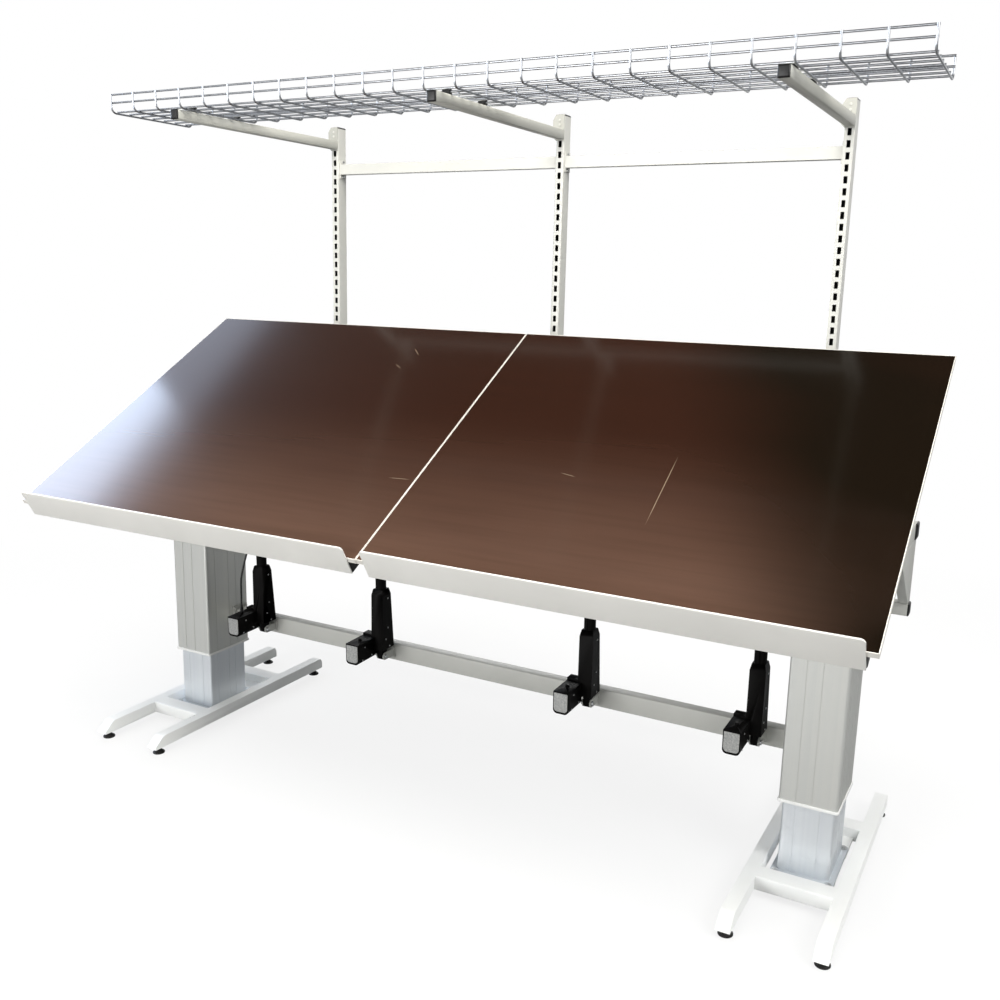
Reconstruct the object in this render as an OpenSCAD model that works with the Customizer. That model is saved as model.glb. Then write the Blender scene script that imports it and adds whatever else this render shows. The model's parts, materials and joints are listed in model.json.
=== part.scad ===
// Height-adjustable table with two tilting tops, a lifting frame on two telescopic
// columns, slotted uprights behind and a wire cable tray overhead.
// +X is to the right, +Y to the back, +Z up. The feet stand on Z = 0.

/* [Table tops] */
// Width of each top
top_w = 1327; // [1280:1:1340]
// Depth of each top
top_d = 1115; // [1000:1:1140]
// Thickness of the film-faced plywood
ply_t = 15; // [12:1:20]
// Thickness of the edge band
edge_t = 2; // [1:0.5:3]
// Gap between the two tops
seam_gap = 2; // [1:1:10]
// Tilt of the tops as drawn, in degrees
tilt = 30; // [24:1:30]
// Height of the surface when it is level, with the lift as drawn
surface_h = 992; // [980:1:1010]

/* [Front lip] */
// Thickness of the lip plate
lip_t = 5; // [3:1:6]
// Rise of the lip above the surface
lip_rise = 40; // [20:1:60]
// Distance from each end of the top to the lip's end
lip_inset = 26; // [10:1:60]
// Radius of the lip's upper corners
lip_r = 11; // [5:1:18]

/* [Tilting frame] */
// Side of the square tube under the tops
top_tube = 40; // [36:1:44]
// Wall of that tube
top_wall = 2; // [1.5:0.5:3]
// Distance from the end of the top to the frame
top_inset = 30; // [20:1:60]
// Distance from the front edge of the top to the pivot
pivot_setback = 190; // [150:1:220]
// Distance from the rear edge of the top to the frame
rear_setback = 25; // [10:1:60]
// Distance from the pivot back to the slot of the rod bracket
rod_back = 435; // [425:1:445]
// Distance from the pivot down to the slot of the rod bracket
rod_drop = 63; // [58:1:66]

/* [Lifting frame] */
// Distance from the ends of the tops in to the outer faces of the side tubes
frame_inset = 72; // [58:1:108]
// Height of the frame's tubes
frame_h = 50; // [40:1:55]
// Width of the side tubes
side_w = 40; // [30:1:50]
// Wall of the frame's tubes
frame_wall = 3; // [2:0.5:4]
// Gap between the frame and the tilting tubes above it
frame_gap = 5; // [3:1:8]
// Distance from the column centre back to the uprights
upright_y = 556; // [540:1:600]
// Depth of the front, middle and upper rear tubes
frame_d = 50; // [40:1:55]
// Side of the square lower rear tube
lower_tube = 40; // [30:1:50]
// Drop from the upper frame's underside to the lower rear tube's top
lower_drop = 206; // [150:1:260]
// Length of the gusset along the side tube
gusset_l = 318; // [200:1:360]
// Thickness of the gusset sheet
gusset_t = 3; // [2:0.5:4]
// Width of the gusset's flange
gusset_w = 28; // [20:1:40]

/* [Columns] */
// Distance from the ends of the tops in to the column centres
column_inset = 205.5; // [200:0.5:215]
// Width of the inner column
inner_w = 142; // [138:1:144]
// Depth of the inner column
inner_d = 184; // [175:1:190]
// Wall of the inner column
inner_wall = 4; // [3:0.5:6]
// Length of the inner column
inner_l = 638; // [600:1:650]
// Width of the outer column
outer_w = 159; // [157:1:165]
// Depth of the outer column
outer_d = 210; // [205:1:220]
// Wall of the outer column
outer_wall = 5; // [3:0.5:5]
// Length of the outer column
outer_l = 619; // [600:1:640]
// Height of the collar's rim below the outer column
collar_h = 8; // [3:1:10]
// Thickness of the plate on top of each column
head_t = 10; // [6:1:12]
// Radius of the lift cylinder's push rod
lift_rod_r = 18; // [12:1:22]
// Radius of the lift cylinder
cylinder_r = 30; // [26:1:40]

/* [Feet] */
// Length of the foot bars
foot_l = 910; // [850:1:1000]
// Distance of the foot's middle behind the column centre
foot_shift = 18; // [0:1:30]
// Width of a foot bar
bar_w = 38; // [30:1:44]
// Height of a foot bar
bar_h = 40; // [36:1:50]
// Distance between the centres of a foot's two bars
bar_span = 244; // [230:1:260]
// Wall of the foot bars and cross bars
bar_wall = 3; // [2:0.5:4]
// Height of the foot's underside above the floor
foot_gap = 22; // [20:1:30]
// Width of the cross bars
cross_w = 60; // [50:1:70]
// Distance from the column centre to the front cross bar's centre
front_cross = 175; // [165:1:190]
// Distance from the column centre to the rear cross bar's centre
rear_cross = 220; // [180:1:240]
// Width of the base plate under each column
base_w = 172; // [164:1:196]
// Depth of the base plate
base_d = 250; // [240:1:260]
// Thickness of the base plate
base_t = 5; // [4:1:8]
// Radius of a levelling pad
pad_r = 20; // [15:1:25]

/* [Actuators] */
// Distance from the column centre forward to the lower pivots
eye_forward = 10; // [5:1:15]
// Height of the lower pivots above the floor
eye_z = 359; // [355:1:365]
// Width of the actuator body
body_w = 46; // [42:1:50]
// Depth of the actuator body at its shoulder
body_d = 48; // [40:1:52]
// Radius of the tube above the body
neck_r = 18; // [13:1:18]
// Radius of the rod
rod_r = 10; // [8:1:10]
// Length of the rod below its pin
rod_l = 475; // [460:1:480]
// Width of the motor box
motor_w = 50; // [40:1:56]
// Reach of the motor box in front of the body
motor_reach = 98; // [80:1:120]
// Height of the motor box
motor_h = 70; // [60:1:76]
// Radius of the cable
cable_r = 3.5; // [2.5:0.5:4]

/* [Low crossbeam] */
// Height of the crossbeam between the columns
low_h = 60; // [50:1:70]
// Depth of that crossbeam
low_d = 40; // [30:1:50]
// Height of its underside above the floor
low_z = 330; // [320:1:335]
// Distance from the column centre back to its front face
low_y = 40; // [36:1:50]

/* [Uprights and arms] */
// Distance between the uprights
upright_span = 950; // [850:1:1000]
// Width of an upright
upright_w = 30; // [26:1:40]
// Depth of an upright
upright_d = 50; // [40:1:60]
// Height of the uprights' tops above the floor
upright_top = 2170; // [2160:1:2250]
// Length of an upright
upright_l = 1540; // [1520:1:1560]
// Wall of the uprights and arms
upright_wall = 2; // [1.5:0.5:3]
// Width of a slot in the upright's face
slot_w = 11.5; // [8:0.5:14]
// Height of a slot
slot_h = 21; // [18:1:24]
// Distance from slot to slot
slot_pitch = 34.4; // [30:0.1:40]
// Number of slots in an upright
slots = 41; // [10:1:41]
// Distance from the upright's top down to its first slot's centre
slot_down = 91; // [91:1:140]
// Height of the beams between the uprights
back_beam_h = 37; // [30:1:44]
// Depth of those beams
back_beam_d = 35; // [25:1:40]
// Distance from the uprights' tops down to those beams' tops
back_beam_down = 130; // [120:1:200]
// Side of the square arms
arm_w = 30; // [25:1:34]
// Distance from the uprights' tops down to the arms' tops
arm_down = 46; // [40:1:60]
// Reach of the arms in front of the uprights
arm_reach = 814; // [790:1:850]

/* [Cable tray] */
// Distance between the tray's bent cross wires
wire_pitch = 100; // [90:1:110]
// Number of bent cross wires
wires = 26; // [20:1:26]
// Distance of the tray's middle to the right of the table's middle
tray_shift = 21.3; // [0:0.1:30]
// Thickness of the wire
wire = 6; // [4:0.5:6]
// Width of the tray over its walls
tray_w = 362; // [300:1:370]
// Height of the tray
tray_h = 62; // [55:1:80]
// Distance between the lengthwise floor wires
floor_pitch = 50; // [45:1:50]
// Outer radius of the wire's bends
bend_r = 22; // [12:1:24]

/* [Hidden] */

$fn = 48;
// Overrun of every cut
cut = 1;
// Clearance between pieces that slide past each other
slide_fit = 0.3;
// Radial clearance of a pin in its bore
pin_fit = 0.05;

// End caps: the flange, its raised middle and the plug inside the tube
cap_t = 6;
cap_base = 3;
cap_step = 4;
plug_l = 15;
plug_fit = 0.5;

// Heights of the fixed parts
pivot_z = surface_h - ply_t - top_tube / 2;
frame_top = pivot_z - top_tube / 2 - frame_gap;
frame_z = frame_top - frame_h;
outer_top = frame_z - head_t;
outer_z = outer_top - outer_l;
foot_top = foot_gap + bar_h;
base_recess = 30;
base_z = foot_top - base_recess;
column_z = base_z + base_t;
inner_top = column_z + inner_l;

// The tops' pivot, and the front-most point of the lip as drawn
pivot_forward = 438;
pivot_y = -pivot_forward;
surface_z = top_tube / 2 + ply_t;
lip_front = -pivot_setback - lip_t;
lip_top = surface_z + lip_rise;
front_most = pivot_y + lip_front * cos(tilt) - lip_top * sin(tilt);
rear_most = upright_y + upright_d;
// The origin lies midway between the front-most and the rear-most points
frame_y = -(front_most + rear_most) / 2;

// Lengths of the whole table, of the lifting frame and between the column centres
overall_w = 2 * top_w + seam_gap;
frame_l = overall_w - 2 * frame_inset;
column_span = overall_w - 2 * column_inset;

// Lower and upper pivots of the actuators, seen from the right
actuator_shares = [-0.3831, -0.1514, 0.1898, 0.4209];
actuator_x = [for (s = actuator_shares) s * column_span];
eye_y = -eye_forward;
rod_top_y = pivot_y + rod_back * cos(tilt) + rod_drop * sin(tilt);
rod_top_z = pivot_z + rod_back * sin(tilt) - rod_drop * cos(tilt);
lean = atan2(eye_y - rod_top_y, rod_top_z - eye_z);
actuator_l = norm([rod_top_y - eye_y, rod_top_z - eye_z]);

// Columns
column_x = column_span / 2;
column_r = 8;
column_inner_r = 3;
groove_w = 3;
groove_t = 1.2;
outer_front_shares = [-0.2, 0.07];
inner_front_shares = [-0.23, 0.23];
side_groove_shares = [-0.3, 0.02, 0.2];
collar_overhang = 3;
liner_h = 40;
glide_h = 35;
glide_w = outer_w - 2 * outer_wall - 2 * slide_fit;
glide_d = outer_d - 2 * outer_wall - 2 * slide_fit;
cylinder_floor = 15;
cylinder_short = 15;
cylinder_l = inner_l - cylinder_short;
lift_rod_down = 602;
head_w = 190;
head_d = 240;

// Feet
bar_front = foot_shift - foot_l / 2;
bar_rear = foot_shift + foot_l / 2;
tip_h = 8;
tip_run = 40;
rear_tip_h = 28;
rear_tip_run = 10;
cavity_in = 15;
pad_inset = 33;
pad_ys = [bar_front + pad_inset, bar_rear - pad_inset];
pad_h = 12;
pad_edge = 4;
stem_r = 5;
stem_in = 12;
lock_nut_r = 9;
lock_nut_h = 6;
cross_half = (bar_span - bar_w) / 2;
flange_t = 6;
flange_in = 70;
base_r = 12;
bolt_x = 72;
bolt_y = 110;
bolt_r = 5;
bolt_head_r = 9;
bolt_head_h = 6;
bolt_nut_h = 6;

// Lifting frame
side_x = frame_l / 2 - side_w;
front_tube_back = 10;
front_tube_y = pivot_y + front_tube_back;
middle_y = 45;
rear_tube_y = upright_y - frame_d;
lower_tube_z = frame_z - lower_drop - lower_tube;
lug_t = 6;
lug_r = 18;
lug_foot = 50;
lug_gap = 0.5;
pin_r = 6;
pin_head_r = 10;
pin_head_t = 4;
hinge_bush_r = 10;

// Crossbeam ends and clevises
low_end_t = 6;
low_end_out = 15;
low_end_up = 10;
end_screw_r = 5;
end_screw_h = 4;
low_half = column_x - outer_w / 2;
ear_t = 4;
ear_r = 13;
ear_gap = 10.3;
clevis_t = 5;
clevis_w = 40;
clevis_h = 36;
eye_pin_r = 5;
eye_pin_out = 20;
eye_pin_head_r = 8;

// Actuators, measured from the lower pivot along the actuator
tab_w = 20;
body_low = 29;
body_high = 241;
shoulder_h = 20;
shoulder_in = 4.5;
body_swell = 14;
body_flare = 5;
neck_top = 491;
bore_low = 60;
motor_gap = 10;
motor_low = 3;
motor_back = 29;
motor_hump = 7;
relief_r = 6;
relief_h = 8;
relief_y = -76;
relief_x = -35;
rod_eye_r = 14;
rod_pin_out = 20;
rod_washer_r = 9;
rod_washer_t = 3;

// Slotted bracket on the tilting frame: the pin drifts forward in it between the limits
slot_drift = 12.6;
slot_angle = -7.5;
slot_across = 1.1;
slot_fit = 0.4;
rod_slot_r = pin_r + slot_across / 2 + slot_fit;
bracket_t = 5;
bracket_gap = 10.5;
bracket_front = 40;
bracket_back = 22;
bracket_below = 16;

// Uprights, beams and arms
upright_xs = [-upright_span, 0, upright_span];
upright_z = upright_top - upright_l;
back_beam_z = upright_top - back_beam_down - back_beam_h;
back_beam_setback = 9;
back_beam_y = upright_y + back_beam_setback;
beam_plate_t = 4;
beam_plate_up = 14;
screw_r = 5;
screw_h = 3.5;
screw_up = 8;
arm_z = upright_top - arm_down - arm_w;
arm_plate_t = 4;
arm_plate_side = 12;
arm_plate_up = 50;
arm_plate_slope = 18;
arm_plate_down = 4;
arm_front = upright_y - arm_reach;

// Cable tray
tray_y = arm_front - wire / 2 + tray_w / 2;
tray_z = arm_z + arm_w;
tray_l = (wires - 1) * wire_pitch;
weld = 1;
floor_wires = 7;
mid_wire_share = 0.5;
clip_l = 24;
clip_w = 16;
clip_h = 15;

// Control box and cable gland
box_w = 220;
box_d = 100;
box_h = 58;
gland_r = 9;
gland_h = 10;

// Route of the tilt cable from the left motor's strain relief up to its gland
cable_route = [[-895, -88, 438], [-895, -88, 500], [-895, -86, 560], [-891, -75, 610],
    [-888, -62, 650], [-888, -42, 710], [-888, -6, 770], [-888, 36, 814], [-888, 64, 842],
    [-888, 70, 858], [-888, 70, 871.6]];
cable_steps = 3;
cable_sides = 8;

// Moves a drawing made about the column centre to the part's origin
module at_origin() {
    translate([0, frame_y, 0]) children();
}

// Places what is drawn about the tops' pivot, tilted as in the rest position
module tilted() {
    at_origin() translate([0, pivot_y, pivot_z]) rotate([tilt, 0, 0]) children();
}

// Places what is drawn about an actuator's lower pivot, with its axis along Z
module at_actuator(i) {
    at_origin() translate([actuator_x[i], eye_y, eye_z]) rotate([lean, 0, 0]) children();
}

// Draws its child at a column, and its mirror image at the other one
module at_column(side) {
    at_origin() mirror([side < 0 ? 1 : 0, 0, 0]) translate([column_x, 0, 0]) children();
}

module both_columns() {
    for (side = [-1, 1]) at_column(side) children();
}

// Extrudes an outline drawn in Y and Z along X
module along_x(l) {
    rotate([90, 0, 90]) linear_extrude(l) children();
}

// Extrudes an outline drawn in X and Z towards the front
module along_front(l) {
    rotate([90, 0, 0]) linear_extrude(l) children();
}

module rounded_rect(w, d, r) {
    square([w - 2 * r, d], center = true);
    square([w, d - 2 * r], center = true);
    for (x = [-1, 1], y = [-1, 1]) translate([x * (w / 2 - r), y * (d / 2 - r)]) circle(r);
}

module tube_x(l, d, h, t) {
    difference() {
        cube([l, d, h]);
        translate([-cut, t, t]) cube([l + 2 * cut, d - 2 * t, h - 2 * t]);
    }
}

module tube_y(w, l, h, t) {
    difference() {
        cube([w, l, h]);
        translate([t, -cut, t]) cube([w - 2 * t, l + 2 * cut, h - 2 * t]);
    }
}

module tube_z(w, d, l, t) {
    difference() {
        cube([w, d, l]);
        translate([t, t, -cut]) cube([w - 2 * t, d - 2 * t, l + 2 * cut]);
    }
}

// Plastic end cap on a tube's end: its flange lies on the XY plane and it rises along Z
module cap(w, d, wall) {
    inset = wall + plug_fit;
    cube([w, d, cap_base]);
    translate([cap_step, cap_step, cap_base])
        cube([w - 2 * cap_step, d - 2 * cap_step, cap_t - cap_base]);
    translate([inset, inset, -plug_l]) cube([w - 2 * inset, d - 2 * inset, plug_l]);
}

module cap_right(d, h, wall) {
    rotate([90, 0, 90]) cap(d, h, wall);
}

module cap_left(d, h, wall) {
    mirror([1, 0, 0]) cap_right(d, h, wall);
}

module cap_front(w, h, wall) {
    rotate([90, 0, 0]) cap(w, h, wall);
}

// Feet

module bar_outline() {
    polygon([
        [bar_front, foot_gap],
        [bar_rear, foot_gap],
        [bar_rear, foot_gap + rear_tip_h],
        [bar_rear - rear_tip_run, foot_top],
        [bar_front + tip_run, foot_top],
        [bar_front, foot_gap + tip_h]]);
}

module cavity_outline() {
    polygon([
        [bar_front + cavity_in, foot_gap + bar_wall],
        [bar_rear - cavity_in, foot_gap + bar_wall],
        [bar_rear - cavity_in, foot_top - bar_wall],
        [bar_front + tip_run + bar_wall, foot_top - bar_wall]]);
}

module foot_bar() {
    difference() {
        along_x(bar_w) bar_outline();
        translate([bar_wall, 0, 0]) along_x(bar_w - 2 * bar_wall) cavity_outline();
        for (y = pad_ys) translate([bar_w / 2, y, foot_gap - cut])
            cylinder(r = stem_r + slide_fit, h = bar_wall + 2 * cut);
    }
}

module foot_bars(side) {
    color("whitesmoke") at_column(side)
        for (x = [-1, 1]) translate([x * bar_span / 2 - bar_w / 2, 0, 0]) foot_bar();
}

// A cross bar with the flange that carries the base plate, drawn towards the rear
module crossbar(y, reach) {
    translate([-cross_half, y - cross_w / 2, foot_gap])
        tube_x(2 * cross_half, cross_w, bar_h, bar_wall);
    difference() {
        translate([-base_w / 2, y + cross_w / 2, base_z - flange_t]) cube([base_w, reach, flange_t]);
        base_holes(-bolt_y);
    }
}

module base_holes(y) {
    for (x = [-bolt_x, bolt_x]) translate([x, y, base_z - flange_t - cut])
        cylinder(r = bolt_r + pin_fit, h = flange_t + base_t + 2 * cut);
}

module foot_crossbars(side) {
    color("whitesmoke") at_column(side) {
        crossbar(-front_cross, front_cross - cross_w / 2 - flange_in);
        mirror([0, 1, 0]) crossbar(-rear_cross, rear_cross - cross_w / 2 - flange_in);
    }
}

module base_plates() {
    color("gray") both_columns() difference() {
        translate([0, 0, base_z]) linear_extrude(base_t) rounded_rect(base_w, base_d, base_r);
        base_holes(-bolt_y);
        base_holes(bolt_y);
    }
}

module base_bolts() {
    color("silver") both_columns() for (x = [-bolt_x, bolt_x], y = [-bolt_y, bolt_y])
        translate([x, y, base_z]) {
            translate([0, 0, -flange_t]) cylinder(r = bolt_r, h = flange_t + base_t);
            translate([0, 0, base_t]) cylinder(r = bolt_head_r, h = bolt_head_h, $fn = 6);
            translate([0, 0, -flange_t - bolt_nut_h])
                cylinder(r = bolt_head_r, h = bolt_nut_h, $fn = 6);
        }
}

module levelling_feet() {
    color("dimgray") both_columns() for (x = [-bar_span / 2, bar_span / 2], y = pad_ys)
        translate([x, y, 0]) {
            cylinder(r = pad_r, h = pad_edge);
            translate([0, 0, pad_edge])
                cylinder(r1 = pad_r, r2 = lock_nut_r, h = pad_h - pad_edge);
            cylinder(r = stem_r, h = foot_gap + stem_in);
            translate([0, 0, foot_gap - lock_nut_h])
                cylinder(r = lock_nut_r, h = lock_nut_h, $fn = 6);
        }
}

// Columns

module column_outline(w, d, wall, front_shares) {
    difference() {
        rounded_rect(w, d, column_r);
        rounded_rect(w - 2 * wall, d - 2 * wall, column_inner_r);
        for (s = front_shares, y = [-1, 1]) translate([s * w, y * d / 2])
            square([groove_w, 2 * groove_t], center = true);
        for (s = side_groove_shares, x = [-1, 1]) translate([x * w / 2, s * d])
            square([2 * groove_t, groove_w], center = true);
    }
}

module inner_column(side) {
    color("lightgray") at_origin() translate([side * column_x, 0, column_z])
        linear_extrude(inner_l) column_outline(inner_w, inner_d, inner_wall, inner_front_shares);
}

module outer_column(side) {
    color("silver") at_origin() translate([side * column_x, 0, outer_z])
        linear_extrude(outer_l) column_outline(outer_w, outer_d, outer_wall, outer_front_shares);
}

// Guide ring at the top of each inner column
module column_glides() {
    color("white") both_columns() translate([0, 0, inner_top - glide_h])
        linear_extrude(glide_h) difference() {
            rounded_rect(glide_w, glide_d, column_inner_r);
            rounded_rect(inner_w, inner_d, column_r);
        }
}

// Collar at the bottom of each outer column, with its guide liner inside
module column_collars() {
    color("white") both_columns() translate([0, 0, outer_z - collar_h]) {
        linear_extrude(collar_h) difference() {
            rounded_rect(outer_w + 2 * collar_overhang, outer_d + 2 * collar_overhang, column_r);
            collar_hole();
        }
        linear_extrude(collar_h + liner_h) difference() {
            rounded_rect(outer_w - 2 * outer_wall, outer_d - 2 * outer_wall, column_inner_r);
            collar_hole();
        }
    }
}

module collar_hole() {
    rounded_rect(inner_w + 2 * slide_fit, inner_d + 2 * slide_fit, column_r);
}

module lift_cylinders() {
    color("dimgray") both_columns() translate([0, 0, column_z]) difference() {
        cylinder(r = cylinder_r, h = cylinder_l);
        translate([0, 0, cylinder_floor]) cylinder(r = lift_rod_r + pin_fit, h = cylinder_l);
    }
}

module lift_rods() {
    color("silver") both_columns() translate([0, 0, outer_top - lift_rod_down])
        cylinder(r = lift_rod_r, h = lift_rod_down);
}

module head_plates() {
    color("gainsboro") both_columns() translate([-head_w / 2, -head_d / 2, outer_top])
        cube([head_w / 2 + frame_l / 2 - column_x, head_d, head_t]);
}

// Lifting frame

module side_tubes() {
    color("whitesmoke") at_origin() for (side = [0, 1]) mirror([side, 0, 0])
        translate([side_x, front_tube_y, frame_z])
            tube_y(side_w, rear_tube_y - front_tube_y, frame_h, frame_wall);
}

module inner_tube(y) {
    color("whitesmoke") at_origin() translate([-side_x, y, frame_z])
        tube_x(2 * side_x, frame_d, frame_h, frame_wall);
}

module rear_upper_tube() {
    color("whitesmoke") at_origin() translate([-frame_l / 2, rear_tube_y, frame_z])
        tube_x(frame_l, frame_d, frame_h, frame_wall);
}

module rear_lower_tube() {
    color("whitesmoke") at_origin() translate([-frame_l / 2, upright_y - lower_tube, lower_tube_z])
        tube_x(frame_l, lower_tube, lower_tube, frame_wall);
}

module frame_caps() {
    color("black") at_origin() for (side = [0, 1]) mirror([side, 0, 0]) {
        translate([frame_l / 2, rear_tube_y, frame_z]) cap_right(frame_d, frame_h, frame_wall);
        translate([frame_l / 2, upright_y - lower_tube, lower_tube_z])
            cap_right(lower_tube, lower_tube, frame_wall);
        translate([side_x, front_tube_y, frame_z]) cap_front(side_w, frame_h, frame_wall);
    }
}

// Triangular sheet bracket between a side tube and the lower rear tube: the outer
// sheet, and the flange along its slanting front edge
module gusset() {
    low_y_end = upright_y - lower_tube - gusset_t;
    low_z_end = lower_tube_z + lower_tube;
    front_y = upright_y - gusset_l;
    run = low_y_end - front_y;
    strip = gusset_t * norm([run, lower_drop]) / lower_drop;
    translate([frame_l / 2 - gusset_t, 0, 0]) along_x(gusset_t) polygon([
        [front_y, frame_z], [upright_y, frame_z], [upright_y, low_z_end], [low_y_end, low_z_end]]);
    translate([frame_l / 2 - gusset_w, 0, 0]) along_x(gusset_w - gusset_t) polygon([
        [front_y, frame_z], [front_y + strip, frame_z],
        [low_y_end + strip, low_z_end], [low_y_end, low_z_end]]);
}

module gussets() {
    color("whitesmoke") at_origin() for (side = [0, 1]) mirror([side, 0, 0]) gusset();
}

module lug() {
    difference() {
        along_x(lug_t) {
            circle(lug_r);
            translate([-lug_r / 2, frame_top - pivot_z])
                square([lug_r / 2 + lug_foot, pivot_z - frame_top]);
        }
        translate([-cut, 0, 0]) rotate([0, 90, 0])
            cylinder(r = pin_r + pin_fit, h = lug_t + 2 * cut);
    }
}

// A pair of lugs on the front tube beside each pivoting tube
module hinge_lugs() {
    color("whitesmoke") at_origin() for (x = actuator_x, side = [0, 1])
        translate([x, pivot_y, pivot_z]) mirror([side, 0, 0])
            translate([top_tube / 2 + lug_gap, 0, 0]) lug();
}

module pin(r, reach, head_r, head_t) {
    translate([-reach, 0, 0]) rotate([0, 90, 0]) cylinder(r = r, h = 2 * reach);
    for (side = [0, 1]) mirror([side, 0, 0]) translate([reach, 0, 0]) rotate([0, 90, 0])
        cylinder(r = head_r, h = head_t);
}

module pivot_pins() {
    color("silver") at_origin() for (x = actuator_x) {
        translate([x, pivot_y, pivot_z])
            pin(pin_r, top_tube / 2 + lug_gap + lug_t, pin_head_r, pin_head_t);
        translate([x, eye_y, eye_z]) pin(eye_pin_r, ear_gap + ear_t, eye_pin_head_r,
            eye_pin_out - ear_gap - ear_t);
    }
}

module low_crossbeam() {
    color("gainsboro") at_origin() translate([-low_half + low_end_t, low_y, low_z])
        tube_x(2 * (low_half - low_end_t), low_d, low_h, frame_wall);
}

module crossbeam_ends() {
    color("gainsboro") at_origin() for (side = [0, 1]) mirror([side, 0, 0]) {
        translate([low_half - low_end_t, low_y - low_end_out, low_z - low_end_up])
            cube([low_end_t, low_d + 2 * low_end_out, low_h + 2 * low_end_up]);
        for (y = [-1, 1], z = [-1, 1])
            translate([low_half - low_end_t, low_y + low_d / 2 + y * (low_d + low_end_out) / 2,
                low_z + low_h / 2 + z * low_h / 2])
                rotate([0, -90, 0]) cylinder(r = end_screw_r, h = end_screw_h);
    }
}

module clevis_ear() {
    difference() {
        along_x(ear_t) {
            circle(ear_r);
            translate([0, -ear_r]) square([low_y - clevis_t - eye_y, 2 * ear_r]);
        }
        translate([-cut, 0, 0]) rotate([0, 90, 0])
            cylinder(r = eye_pin_r + pin_fit, h = ear_t + 2 * cut);
    }
}

module actuator_clevises() {
    color("silver") at_origin() for (x = actuator_x) translate([x, eye_y, eye_z]) {
        for (side = [0, 1]) mirror([side, 0, 0]) translate([ear_gap, 0, 0]) clevis_ear();
        translate([-clevis_w / 2, low_y - clevis_t - eye_y, -clevis_h / 2])
            cube([clevis_w, clevis_t, clevis_h]);
    }
}

// Back frame

module upright(x) {
    color("whitesmoke") at_origin() translate([x - upright_w / 2, upright_y, upright_z])
        difference() {
            tube_z(upright_w, upright_d, upright_l, upright_wall);
            for (i = [0 : slots - 1])
                translate([(upright_w - slot_w) / 2, -cut,
                    upright_l - slot_down - i * slot_pitch - slot_h / 2])
                    cube([slot_w, upright_wall + 2 * cut, slot_h]);
        }
}

module back_frame_caps() {
    color("black") at_origin() for (x = upright_xs) {
        translate([x - upright_w / 2, upright_y, upright_top])
            cap(upright_w, upright_d, upright_wall);
        translate([x - arm_w / 2, arm_front, arm_z]) cap_front(arm_w, arm_w, upright_wall);
    }
}

// Beam between two uprights, with a plate at each end
module back_beam() {
    l = upright_span - upright_w;
    translate([beam_plate_t, 0, 0])
        tube_x(l - 2 * beam_plate_t, back_beam_d, back_beam_h, upright_wall);
    for (x = [0, l - beam_plate_t]) translate([x, 0, -beam_plate_up])
        cube([beam_plate_t, back_beam_d, back_beam_h + 2 * beam_plate_up]);
}

module back_beams() {
    color("whitesmoke") at_origin() for (x = [-upright_span, 0])
        translate([x + upright_w / 2, back_beam_y, back_beam_z]) back_beam();
}

module beam_screws() {
    color("silver") at_origin() for (x = [-upright_span / 2, upright_span / 2], side = [0, 1],
        z = [-screw_up, back_beam_h + screw_up])
        translate([x, back_beam_y + back_beam_d / 2, back_beam_z + z]) mirror([side, 0, 0])
            translate([upright_w / 2 + beam_plate_t - upright_span / 2, 0, 0])
                rotate([0, 90, 0]) cylinder(r = screw_r, h = screw_h);
}

// Outline of the plate that joins an arm to its upright, in X and Z about the arm's centre
module arm_plate_outline() {
    half = upright_w / 2;
    low = -arm_w / 2 - arm_plate_down;
    high = arm_w / 2 + arm_plate_up;
    polygon([[-half, low], [half, low], [half, high], [-half, high],
        [-half - arm_plate_side, high - arm_plate_slope],
        [-half - arm_plate_side, low + arm_plate_side]]);
}

module tray_arms() {
    color("whitesmoke") at_origin() for (x = upright_xs) {
        translate([x - arm_w / 2, arm_front, arm_z])
            tube_y(arm_w, arm_reach - arm_plate_t, arm_w, upright_wall);
        translate([x, upright_y, arm_z + arm_w / 2])
            along_front(arm_plate_t) arm_plate_outline();
    }
}

// Cable tray

function wire_x(i) = tray_shift + i * wire_pitch - tray_l / 2;
function floor_y(i) = tray_y + (i - (floor_wires - 1) / 2) * floor_pitch;

module tray_outline() {
    difference() {
        rounded_rect(tray_w, 2 * tray_h, bend_r);
        rounded_rect(tray_w - 2 * wire, 2 * (tray_h - wire), bend_r - wire);
        translate([0, tray_h / 2 + cut]) square([tray_w + 2 * cut, tray_h + 2 * cut], center = true);
    }
}

module long_wire(y, z) {
    translate([wire_x(0) - wire / 2, y, z]) cube([tray_l + wire, wire, wire]);
}

module cable_tray() {
    front_wall = tray_y - tray_w / 2 + wire - weld;
    rear_wall = tray_y + tray_w / 2 - 2 * wire + weld;
    color("silver") at_origin() {
        for (i = [0 : wires - 1]) translate([wire_x(i) - wire / 2, tray_y, tray_z + tray_h])
            along_x(wire) tray_outline();
        for (y = [front_wall, rear_wall], z = [mid_wire_share * tray_h, tray_h - wire])
            long_wire(y, tray_z + z);
        for (i = [0 : floor_wires - 1]) long_wire(floor_y(i) - wire / 2, tray_z + wire - weld);
    }
}

// Saddles that hold two of the floor wires on each arm
module tray_clips() {
    color("black") at_origin() for (x = upright_xs, i = [1, floor_wires - 2])
        translate([x, floor_y(i), tray_z]) difference() {
            translate([-clip_l / 2, -clip_w / 2, 0]) cube([clip_l, clip_w, clip_h]);
            translate([-clip_l, -wire / 2 - slide_fit, wire - weld - slide_fit])
                cube([2 * clip_l, wire + 2 * slide_fit, wire + 2 * slide_fit]);
        }
}

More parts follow.
